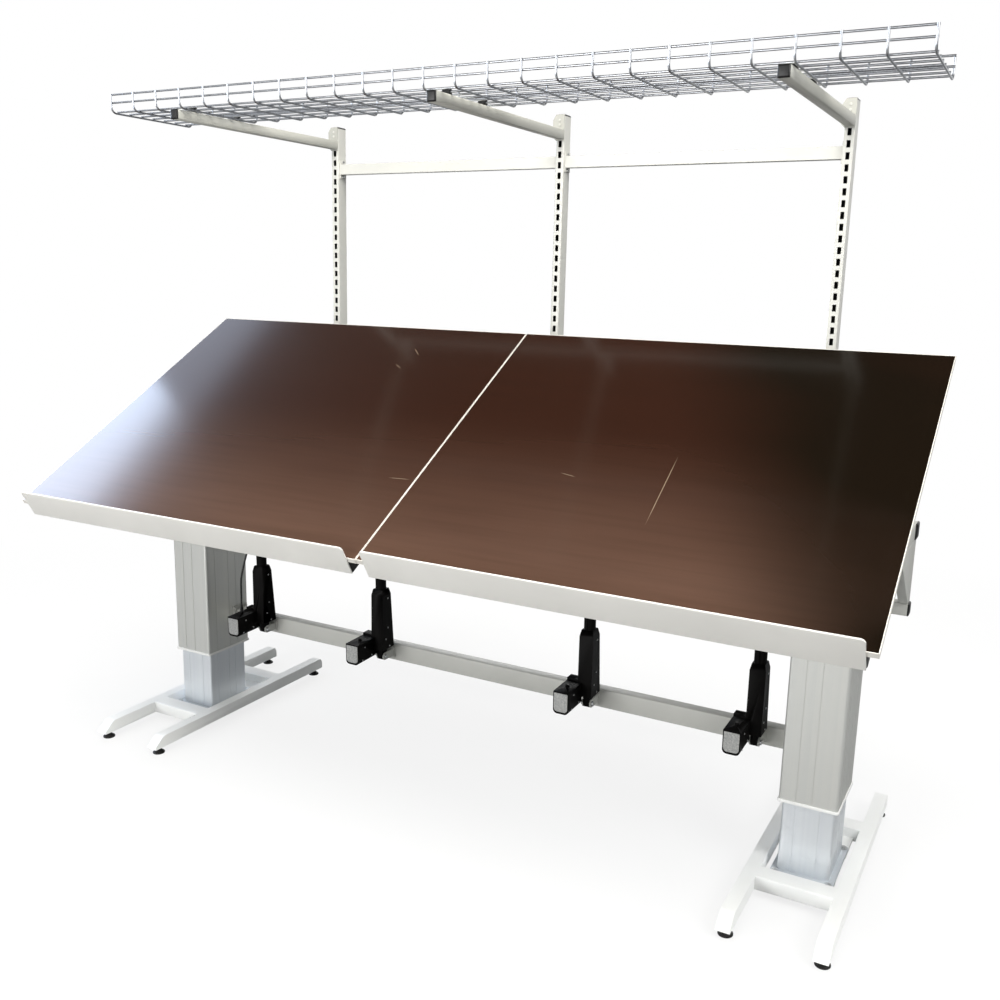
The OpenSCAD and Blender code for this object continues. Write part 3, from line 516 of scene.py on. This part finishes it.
softened = [
    ("leftFootCrossbars", "left_foot_crossbars", 3.5, 150, feetPaint, "base", "foot_paint"),
    ("rightFootCrossbars", "right_foot_crossbars", 3.5, 150, feetPaint, "base", "foot_paint"),
    ("basePlates", "base_plates", 0.8, 0, platePaint, "base", "plate_steel"),
    ("levellingFeet", "levelling_feet", 0.8, 0, padRubber, "base", "pad_rubber"),
    ("columnCollars", "column_collars", 1.4, 0, collarPlastic, "lift", "white_plastic"),
    ("headPlates", "head_plates", 1.0, 0, framePaint, "lift", "frame_paint"),
    ("sideTubes", "side_tubes", 3.0, 100, framePaint, "lift", "frame_paint"),
    ("frontTube", "front_tube", 3.0, 100, framePaint, "lift", "frame_paint"),
    ("middleBeam", "middle_beam", 3.0, 100, framePaint, "lift", "frame_paint"),
    ("rearUpperTube", "rear_upper_tube", 3.0, 100, framePaint, "lift", "frame_paint"),
    ("rearLowerTube", "rear_lower_tube", 3.0, 100, framePaint, "lift", "frame_paint"),
    ("gussets", "gussets", 0.8, 0, framePaint, "lift", "frame_paint"),
    ("hingeLugs", "hinge_lugs", 0.8, 0, framePaint, "lift", "frame_paint"),
    ("pivotPins", "pivot_pins", 0.8, 0, zinc, "lift", "zinc"),
    ("lowCrossbeam", "low_crossbeam", 4.0, 100, beamPaint, "lift", "beam_paint"),
    ("crossbeamEnds", "crossbeam_ends", 1.0, 0, beamPaint, "lift", "beam_paint"),
    ("actuatorClevises", "actuator_clevises", 0.8, 0, beamPaint, "lift", "beam_paint"),
    ("backBeams", "back_beams", 2.5, 100, framePaint, "lift", "frame_paint"),
    ("trayArms", "tray_arms", 2.5, 100, shadedFramePaint, "lift", "frame_paint"),
    ("trayClips", "tray_clips", 1.2, 0, capPlastic, "lift", "black_plastic"),
    ("controlBox", "control_box", 3.0, 40, boxPlastic, "lift", "black_plastic"),
]
for side in ("left", "right"):
    softened += [
        (side + "Lip", side + "_lip", 1.8, 0, lipPaint, side + "_top", "lip_paint"),
        (side + "TiltFrame", side + "_tilt_frame", 2.5, 100, framePaint, side + "_top",
            "frame_paint"),
        (side + "RodBrackets", side + "_rod_brackets", 0.8, 0, framePaint, side + "_top",
            "frame_paint"),
    ]
for settings in softened:
    soften(*settings)
print("Rounded pieces made:", len(softened))

# Uprights: perforated tube whose inner faces are painted near-black as painted shade, so its slots
# look black


uprightTube = {"edge": 2.5, "longEdge": 100, "upward": 0.5}


def makeUpright(side):
    node = side + "_upright"
    piece = soften(side + "Upright", node, uprightTube["edge"], uprightTube["longEdge"],
        framePaint, "lift", "frame_paint")
    low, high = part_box(node)
    middle = (low + high) / 2
    # inner faces get the painted shade
    piece.data.materials.append(paintedTubeShade)
    for face in piece.data.polygons:
        out, normal = face.center - middle, face.normal
        inward = normal.x * out.x + normal.y * out.y < 0
        if inward and abs(normal.z) < uprightTube["upward"]:
            face.material_index = 1


for side in ("left", "middle", "right"):
    makeUpright(side)
print("Uprights made")

# Foot bars: welded square tube with rounded toes

footBars = {"toeRound": 7.5, "toeEdge": 30, "toeAngle": 20, "toeShare": 0.6, "toeSteps": 5,
    "brow": 22.0, "browAngle": 50, "edgeRound": 4.5, "edgeAngle": 60, "shortest": 0.5,
    "longEdge": 100, "edgeSteps": 4}


def makeFootBars(side):
    node = side + "_foot_bars"
    low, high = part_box(node)
    bm = mergedCopy(node)
    middle, half = (low.y + high.y) / 2, (high.y - low.y) / 2
    toes = [edge for edge in sharpEdges(bm, footBars["toeEdge"], footBars["toeAngle"])
        if abs(edge.verts[0].co.y - edge.verts[1].co.y) < mm
        and abs(edge.verts[0].co.y - middle) > footBars["toeShare"] * half]
    brows = [e for e in toes if e.calc_face_angle() < math.radians(footBars["browAngle"])]
    bevelEdges(bm, [e for e in toes if e not in brows], footBars["toeRound"],
        footBars["toeSteps"])
    bevelEdges(bm, [e for e in brows if e.is_valid], footBars["brow"], footBars["toeSteps"])
    edges = [edge for edge in sharpEdges(bm, footBars["shortest"], footBars["edgeAngle"])
        if edge.verts[0].co.z + edge.verts[1].co.z > 2 * low.z + 2 * mm
        or edge.calc_length() > footBars["longEdge"] * mm]
    bevelEdges(bm, edges, footBars["edgeRound"], footBars["edgeSteps"])
    finishPiece(side + "FootBars", bm, feetPaint, "base", (node,), outward=False)


for side in ("left", "right"):
    makeFootBars(side)
print("Foot bars made")

# Nodes whose shape stays as it is

kept = {
    "left_panel": filmPlywood,
    "right_panel": filmPlywood,
    "left_edge_band": edgePlastic,
    "right_edge_band": edgePlastic,
    "left_outer_column": outerAluminium,
    "right_outer_column": outerAluminium,
    "left_inner_column": innerAluminium,
    "right_inner_column": innerAluminium,
    "column_glides": collarPlastic,
    "lift_cylinders": cylinderPaint,
    "lift_rods": chrome,
    "actuator_rod_1": chrome,
    "actuator_rod_2": chrome,
    "actuator_rod_3": chrome,
    "actuator_rod_4": chrome,
}
for node, material in kept.items():
    nodes[node].data.materials.clear()
    nodes[node].data.materials.append(material)
print("CAD finishes set")

# Black caps in the tubes' ends: a rounded flange with a raised middle

capShape = {"flange": 3.0, "rise": 3.0, "inset": 5.0, "round": 1.6, "steps": 3, "sharp": 0.3,
    "length": 21.0, "outside": 6.0}


def addCap(bm, space, width, depth):
    flange = capShape["flange"] * mm
    made = bmesh.ops.create_cube(bm, size=1.0)["verts"]
    bmesh.ops.scale(bm, vec=(width, depth, flange), verts=made)
    bmesh.ops.translate(bm, vec=(0, 0, flange / 2), verts=made)
    faces = {face for vert in made for face in vert.link_faces}
    top = max(faces, key=lambda face: face.calc_center_median().z)
    bmesh.ops.inset_region(bm, faces=[top], thickness=capShape["inset"] * mm, depth=0)
    bmesh.ops.translate(bm, vec=(0, 0, capShape["rise"] * mm), verts=top.verts)
    shell, queue = {top}, [top]
    while queue:
        for edge in queue.pop().edges:
            for face in edge.link_faces:
                if face not in shell:
                    shell.add(face)
                    queue.append(face)
    edges = {edge for face in shell for edge in face.edges
        if edge.calc_face_angle() > capShape["sharp"]}
    before = set(bm.verts) - {v for f in shell for v in f.verts}
    bevelEdges(bm, list(edges), capShape["round"], capShape["steps"])
    bmesh.ops.transform(bm, matrix=space, verts=[v for v in bm.verts if v not in before])


def makeCaps(name, node, body, space=None):
    bm = bmesh.new()
    space = space or Matrix.Identity(4)
    boxes = islands(node, space)
    middle = sum(((low + high) / 2 for low, high in boxes), Vector()) / len(boxes)
    for low, high in boxes:
        size, centre = high - low, (low + high) / 2
        axis = min(range(3), key=lambda i: abs(size[i] - capShape["length"] * mm))
        outward = Vector()
        outward[axis] = {0: 1 if centre.x > middle.x else -1, 1: -1, 2: 1}[axis]
        seat = centre.copy()
        end = (high if outward[axis] > 0 else low)[axis]
        seat[axis] = end - outward[axis] * capShape["outside"] * mm
        turn = outward.to_track_quat("Z", "Y").to_matrix()
        across = turn.transposed() @ size
        addCap(bm, space @ Matrix.Translation(seat) @ turn.to_4x4(), abs(across.x), abs(across.y))
    return finishPiece(name, bm, capPlastic, body, (node,))


makeCaps("frameCaps", "frame_caps", "lift")
makeCaps("backFrameCaps", "back_frame_caps", "lift")
makeCaps("leftTiltCaps", "left_tilt_caps", "left_top", topSpace("left"))
makeCaps("rightTiltCaps", "right_tilt_caps", "right_top", topSpace("right"))
print("Caps made")

# Cable tray of bent and welded round wire

tray = {"wire": 6.0, "crossWires": 26, "floorWires": 7, "floorPitch": 50.0, "bend": 19.0,
    "weld": 1.0, "middleShare": 0.5, "sides": 10, "bendSteps": 6}


def extrudeRing(bm, ring, vec):
    made = bmesh.ops.extrude_edge_only(bm, edges=ring)["geom"]
    bmesh.ops.translate(bm, vec=vec, verts=[g for g in made if isinstance(g, bmesh.types.BMVert)])
    return [g for g in made if isinstance(g, bmesh.types.BMEdge)]


def spinRing(bm, ring, centre, axis, angle, steps):
    verts = list({v for edge in ring for v in edge.verts})
    made = bmesh.ops.spin(bm, geom=verts + ring, cent=centre, axis=axis, angle=angle, steps=steps,
        use_merge=False, use_duplicate=False, use_normal_flip=False)["geom_last"]
    return [g for g in made if isinstance(g, bmesh.types.BMEdge)]


def addRod(bm, start, end, radius, sides):
    along = Vector(end) - Vector(start)
    bmesh.ops.create_cone(bm, cap_ends=True, segments=sides, radius1=radius, radius2=radius,
        depth=along.length, matrix=facing(along, (Vector(start) + Vector(end)) / 2))


def addCrossWire(bm, x, low, high):
    radius, bend = tray["wire"] * mm / 2, tray["bend"] * mm
    front, rear = low.y + radius, high.y - radius
    floor = low.z + radius
    circle = bmesh.ops.create_circle(bm, cap_ends=False, segments=tray["sides"], radius=radius,
        matrix=Matrix.Translation((x, front, high.z)))["verts"]
    first = list({e for v in circle for e in v.link_edges})
    ring = extrudeRing(bm, first, (0, 0, floor + bend - high.z))
    ring = spinRing(bm, ring, (x, front + bend, floor + bend), (1, 0, 0), math.pi / 2,
        tray["bendSteps"])
    ring = extrudeRing(bm, ring, (0, rear - front - 2 * bend, 0))
    ring = spinRing(bm, ring, (x, rear - bend, floor + bend), (1, 0, 0), math.pi / 2,
        tray["bendSteps"])
    last = extrudeRing(bm, ring, (0, 0, high.z - floor - bend))
    for ends in (first, last):
        bmesh.ops.holes_fill(bm, edges=ends, sides=tray["sides"])


def makeTray():
    low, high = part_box("cable_tray")
    bm = bmesh.new()
    wire, radius, weld = tray["wire"] * mm, tray["wire"] * mm / 2, tray["weld"] * mm
    pitch = (high.x - low.x - wire) / (tray["crossWires"] - 1)
    for i in range(tray["crossWires"]):
        addCrossWire(bm, low.x + radius + i * pitch, low, high)
    left, right = low.x, high.x
    height = high.z - low.z
    for y in (low.y + wire + radius - weld, high.y - wire - radius + weld):
        for z in (low.z + tray["middleShare"] * height + radius, high.z - radius):
            addRod(bm, (left, y, z), (right, y, z), radius, tray["sides"])
    for i in range(tray["floorWires"]):
        y = (low.y + high.y) / 2 + (i - (tray["floorWires"] - 1) / 2) * tray["floorPitch"] * mm
        z = low.z + wire - weld + radius
        addRod(bm, (left, y, z), (right, y, z), radius, tray["sides"])
    return finishPiece("cableTray", bm, wireZinc, "lift", ("cable_tray",))


makeTray()
print("Cable tray made")

# Fasteners


hexHead = {"edge": 0.9, "steps": 2}


def addHexHead(bm, space, corner, height):
    # corner is the radius over its corners, in mm
    made = bmesh.ops.create_cone(bm, cap_ends=True, segments=6, radius1=corner * mm,
        radius2=corner * mm, depth=height * mm)["verts"]
    bmesh.ops.translate(bm, vec=(0, 0, height * mm / 2), verts=made)
    before = set(bm.verts) - set(made)
    rim = {e for v in made for e in v.link_edges
        if min(u.co.z for u in e.verts) > height * mm / 2}
    bevelEdges(bm, list(rim), hexHead["edge"], hexHead["steps"])
    bmesh.ops.transform(bm, matrix=space, verts=[v for v in bm.verts if v not in before])


# Pan head with a hexagon socket, as shares of its height (crown, depth) and radius (rim, wall)
panHead = {"crown": 0.45, "steps": 3, "rim": 0.22, "wall": 0.02, "depth": 0.5}


def addScrew(bm, space, radius, height, sides=18):
    made = bmesh.ops.create_cone(bm, cap_ends=True, segments=sides, radius1=radius * mm,
        radius2=radius * mm, depth=height * mm)["verts"]
    bmesh.ops.translate(bm, vec=(0, 0, height * mm / 2), verts=made)
    before = set(bm.verts) - set(made)
    top = max({f for v in made for f in v.link_faces}, key=lambda f: f.calc_center_median().z)
    bevelEdges(bm, list(top.edges), height * panHead["crown"], panHead["steps"])
    top = max((f for f in bm.faces if not set(f.verts) & before),
        key=lambda f: f.calc_center_median().z)
    bmesh.ops.inset_region(bm, faces=[top], thickness=radius * mm * panHead["rim"], depth=0)
    bmesh.ops.inset_region(bm, faces=[top], thickness=radius * mm * panHead["wall"],
        depth=-height * mm * panHead["depth"])
    bmesh.ops.transform(bm, matrix=space, verts=[v for v in bm.verts if v not in before])


baseBolts = {"corner": 9.0, "head": 6.0, "shank": 4.9, "shankSides": 16, "washer": 11.5,
    "washerFlat": 10.9, "washerEdge": 0.3, "washerThick": 1.6, "washerSides": 28}


def makeBaseBolts():
    bm = bmesh.new()
    bolt = baseBolts
    washer = [(0, bolt["washerFlat"]), (bolt["washerEdge"], bolt["washer"]),
        (bolt["washerThick"] - bolt["washerEdge"], bolt["washer"]),
        (bolt["washerThick"], bolt["washerFlat"])]
    for low, high in islands("base_bolts"):
        x, y = (low.x + high.x) / 2, (low.y + high.y) / 2
        top, bottom = high.z - bolt["head"] * mm, low.z + bolt["head"] * mm
        addRod(bm, (x, y, bottom), (x, y, top), bolt["shank"] * mm, bolt["shankSides"])
        for z, way in ((top, 1), (bottom, -1)):
            space = facing((0, 0, way), (x, y, z))
            ringsAlong(bm, space, washer, bolt["washerSides"])
            addHexHead(bm, space, bolt["corner"], bolt["head"])
    return finishPiece("baseBolts", bm, zinc, "base", ("base_bolts",))


beamScrews = {"radius": 5.0, "height": 3.5}


def makeBeamScrews():
    bm = bmesh.new()
    beams = islands("back_beams")
    for low, high in islands("beam_screws"):
        centre = (low + high) / 2
        beam = min(beams, key=lambda box: abs((box[0].x + box[1].x) / 2 - centre.x))
        inward = 1 if centre.x < (beam[0].x + beam[1].x) / 2 else -1
        foot = Vector((low.x if inward > 0 else high.x, centre.y, centre.z))
        addScrew(bm, facing((inward, 0, 0), foot), beamScrews["radius"], beamScrews["height"])
    return finishPiece("beamScrews", bm, zinc, "lift", ("beam_screws",))


armScrews = {"uprights": ("left_upright", "middle_upright", "right_upright"), "plate": 4.0,
    "aside": -2.0, "down": (14.0, 29.0), "radius": 4.0, "height": 1.8}


def makeArmScrews():
    bm = bmesh.new()
    for node in armScrews["uprights"]:
        low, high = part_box(node)
        for down in armScrews["down"]:
            foot = Vector(((low.x + high.x) / 2 + armScrews["aside"] * mm,
                low.y - armScrews["plate"] * mm, high.z - down * mm))
            addScrew(bm, facing((0, -1, 0), foot), armScrews["radius"], armScrews["height"])
    return finishPiece("armScrews", bm, framePaint, "lift")


makeBaseBolts()
makeBeamScrews()
makeArmScrews()
print("Fasteners made")

# Actuators: tapered nylon body, motor box with a bare foil plate, screws and a wiper ring, in mm
# from the lower pin; the wiper's heights count from the top of the neck

actuator = {
    "motorLeft": -60.0, "motorRight": -10.0, "motorFront": -122.0, "motorLow": 3.0,
    "motorHigh": 73.0, "edge": 2.2, "edgeSteps": 3,
    "belly": 13.0, "bellySteps": 6, "bellyEdge": 30.0, "near": 1.0,
    "screws": [(23.0, 4.0, 104.0), (23.0, -9.0, 66.0), (23.0, 12.0, 36.0), (23.0, 6.0, 208.0),
        (-10.0, -84.0, 56.0), (-10.0, -98.0, 14.0), (-10.0, -46.0, 18.0)],
    "screwRadius": 2.9, "screwHeight": 1.4, "screwSides": 14,
    "plate": (44.0, 59.0), "plateThick": 0.8, "plateUp": 1.5,
    "lowCorners": 11.0, "lowSteps": 6, "highCorners": 2.0, "highSteps": 3,
    "neckTop": 491.0, "wiper": [(-14, 18.1), (-13, 19.6), (-2, 19.6), (0, 18.2), (1.2, 13.0)],
    "wiperSides": 32,
}


def bellyEdges(bm, space):
    # the lower edges along the motor box
    toLocal = space.inverted()
    near, found = actuator["near"], []
    for edge in bm.edges:
        a, b = (toLocal @ v.co / mm for v in edge.verts)
        low = max(a.z, b.z) < actuator["motorLow"] + near
        along = abs(a.y - b.y) > actuator["bellyEdge"] and abs(a.x - b.x) < near
        beside = max(a.x, b.x) < actuator["motorRight"] + near
        if low and along and beside and len(edge.link_faces) == 2:
            found.append(edge)
    return found


def makeActuatorPlate(name, space, body):
    bm = bmesh.new()
    width, height = actuator["plate"]
    thick = actuator["plateThick"]
    made = bmesh.ops.create_cube(bm, size=1.0)["verts"]
    bmesh.ops.scale(bm, vec=(width * mm, thick * mm, height * mm), verts=made)
    corners = [e for e in bm.edges if abs(e.verts[0].co.y - e.verts[1].co.y) > 0]
    upper = [e for e in corners if e.verts[0].co.z > 0]
    bevelEdges(bm, [e for e in corners if e.verts[0].co.z < 0], actuator["lowCorners"],
        actuator["lowSteps"])
    bevelEdges(bm, [e for e in upper if e.is_valid], actuator["highCorners"],
        actuator["highSteps"])
    middle = Vector(((actuator["motorLeft"] + actuator["motorRight"]) / 2,
        actuator["motorFront"] - thick / 2,
        (actuator["motorLow"] + actuator["motorHigh"]) / 2 + actuator["plateUp"]))
    bmesh.ops.transform(bm, verts=bm.verts, matrix=space @ Matrix.Translation(middle * mm))
    finishPiece(name, bm, labelFoil, body)


def makeActuator(number):
    space = actuatorSpace(number)
    node, body = "actuator_housing_%d" % number, "housing_%d" % number
    bm = mergedCopy(node)
    bevelEdges(bm, bellyEdges(bm, space), actuator["belly"], actuator["bellySteps"])
    bevelEdges(bm, sharpEdges(bm), actuator["edge"], actuator["edgeSteps"])
    finishPiece("actuatorBody%d" % number, bm, actuatorPlastic, body, (node,),
        outward=False)
    bm = bmesh.new()
    for place in actuator["screws"]:
        addScrew(bm, space @ facing((1, 0, 0), Vector(place) * mm), actuator["screwRadius"],
            actuator["screwHeight"], actuator["screwSides"])
    finishPiece("actuatorScrews%d" % number, bm, zinc, body)
    makeActuatorPlate("actuatorPlate%d" % number, space, body)
    bm = bmesh.new()
    ringsAlong(bm, space, [(actuator["neckTop"] + up, radius) for up, radius in actuator["wiper"]],
        actuator["wiperSides"])
    finishPiece("actuatorWiper%d" % number, bm, capPlastic, body)


for number in range(1, 5):
    makeActuator(number)
print("Actuators made")

# Floor, world and lamps

# Sizes in metres; shares of white in the floor near the table and far off; the ceiling and the
# wall to the right are darker for mirrored rays
stage = {"floor": 40.0, "floorDrop": 0.0005, "floorRough": 0.9, "floorSeen": "#f6f6f5",
    "floorBounce": "#949596", "nearShare": 0.79, "shareFrom": 1.6, "shareTo": 4.0,
    "worldColour": "#f4f6f8", "worldStrength": 0.34, "ceiling": 0.05, "ceilingFrom": 0.30,
    "ceilingTo": 0.80, "rightWall": 0.25, "rightFrom": 0.30, "rightTo": 0.60}
white = (1, 1, 1, 1)


def makeFloor():
    bm = bmesh.new()
    bmesh.ops.create_grid(bm, x_segments=1, y_segments=1, size=stage["floor"] / 2)
    mesh = bpy.data.meshes.new("floor")
    bm.to_mesh(mesh)
    bm.free()
    floor = bpy.data.objects.new("floor", mesh)
    floor.location.z = -stage["floorDrop"]
    bpy.context.scene.collection.objects.link(floor)
    material, tree, surface, place = startMaterial("paleFloor", Roughness=stage["floorRough"])
    seen = addNode(tree, "ShaderNodeLightPath").outputs["Is Camera Ray"]
    tree.links.new(blendColours(tree, seen, linear(stage["floorBounce"]),
        linear(stage["floorSeen"])), surface.inputs["Base Color"])
    plain = addNode(tree, "ShaderNodeEmission", {"Color": white, "Strength": 1.0})
    away = addNode(tree, "ShaderNodeVectorMath", {0: place}, operation="LENGTH").outputs["Value"]
    fade = spread(tree, away, stage["shareFrom"], stage["shareTo"], stage["nearShare"], 1.0)
    mix = addNode(tree, "ShaderNodeMixShader", {0: calculate(tree, "MULTIPLY", seen, fade),
        1: surface.outputs[0], 2: plain.outputs[0]})
    tree.links.new(mix.outputs[0], tree.nodes["Material Output"].inputs["Surface"])
    mesh.materials.append(material)


def makeWorld():
    world = bpy.data.worlds.new("studio")
    bpy.context.scene.world = world
    world.use_nodes = True
    tree = world.node_tree
    tree.nodes.clear()
    rays = addNode(tree, "ShaderNodeLightPath").outputs
    place = addNode(tree, "ShaderNodeTexCoord").outputs["Generated"]
    sky = addNode(tree, "ShaderNodeSeparateXYZ", {0: place}).outputs
    ceiling = spread(tree, sky["Z"], stage["ceilingFrom"], stage["ceilingTo"], 1.0,
        stage["ceiling"])
    wall = spread(tree, sky["X"], stage["rightFrom"], stage["rightTo"], 1.0, stage["rightWall"])
    mirrored = calculate(tree, "MULTIPLY", ceiling, wall)
    soft = addNode(tree, "ShaderNodeBackground", {"Color": linear(stage["worldColour"]),
        "Strength": stage["worldStrength"]})
    room = addNode(tree, "ShaderNodeBackground", {"Color": white, "Strength": mirrored})
    plain = addNode(tree, "ShaderNodeBackground", {"Color": white, "Strength": 1.0})
    mix = addNode(tree, "ShaderNodeMixShader", {0: rays["Is Glossy Ray"], 1: soft.outputs[0],
        2: room.outputs[0]})
    straight = calculate(tree, "MAXIMUM", rays["Is Camera Ray"], rays["Is Transmission Ray"])
    mix = addNode(tree, "ShaderNodeMixShader", {0: straight, 1: mix.outputs[0],
        2: plain.outputs[0]})
    out = addNode(tree, "ShaderNodeOutputWorld")
    tree.links.new(mix.outputs[0], out.inputs["Surface"])


# Place, aim and size in metres, power in watts; the two glows are a window and a pale wall that
# the tops mirror at their left end, where the photo shows them
lamps = [
    {"name": "windowLamp", "place": (-4.2, 0.6, 2.8), "aim": (0, 0, 1.0), "size": (3.4, 2.4),
        "power": 20, "colour": "#e8f0ff", "diffuse": True, "glossy": False},
    {"name": "windowGlow", "place": (-4.3, 0.2, 2.76), "aim": (-0.9, 0.2, 2.46), "size": (2.2, 1.8),
        "roll": -19.5, "power": 140, "colour": "#d6e6ff", "diffuse": False, "glossy": True},
    {"name": "roomGlow", "place": (-4.3, 1.0, 3.30), "aim": (-0.9, 1.0, 3.0), "size": (3.6, 1.8),
        "roll": -19.5, "power": 58, "colour": "#d6e6ff", "diffuse": False, "glossy": True},
    {"name": "ceilingLamp", "place": (0.5, -1.2, 4.4), "aim": (0.2, -0.2, 0.6), "size": (3.6, 2.6),
        "power": 225, "colour": "#fffcf6", "diffuse": True, "glossy": False},
    {"name": "frontLamp", "place": (-1.8, -5.4, 1.6), "aim": (0.2, 0, 0.7), "size": (3.4, 2.4),
        "power": 195, "colour": "#ffffff", "diffuse": True, "glossy": True},
    {"name": "rightLamp", "place": (4.6, -1.6, 3.6), "aim": (1.0, 0, 0.5), "size": (2.6, 2.4),
        "power": 140, "colour": "#ffffff", "diffuse": True, "glossy": True},
    {"name": "backLamp", "place": (-2.5, 4.8, 2.6), "aim": (0, 0, 0.9), "size": (2.6, 2.0),
        "power": 90, "colour": "#ffffff", "diffuse": True, "glossy": True},
]


def makeLamps():
    for lamp in lamps:
        data = bpy.data.lights.new(lamp["name"], "AREA")
        data.shape = "RECTANGLE"
        data.size, data.size_y = lamp["size"]
        data.energy = lamp["power"]
        data.color = linear(lamp["colour"])[:3]
        light = bpy.data.objects.new(lamp["name"], data)
        away = Vector(lamp["aim"]) - Vector(lamp["place"])
        light.matrix_world = (Matrix.Translation(lamp["place"])
            @ away.to_track_quat("-Z", "Y").to_matrix().to_4x4()
            @ Matrix.Rotation(math.radians(lamp.get("roll", 0)), 4, "Z"))
        light.visible_diffuse, light.visible_glossy = lamp["diffuse"], lamp["glossy"]
        light.visible_camera = False
        bpy.context.scene.collection.objects.link(light)


makeFloor()
makeWorld()
makeLamps()
print("Stage and lamps made")
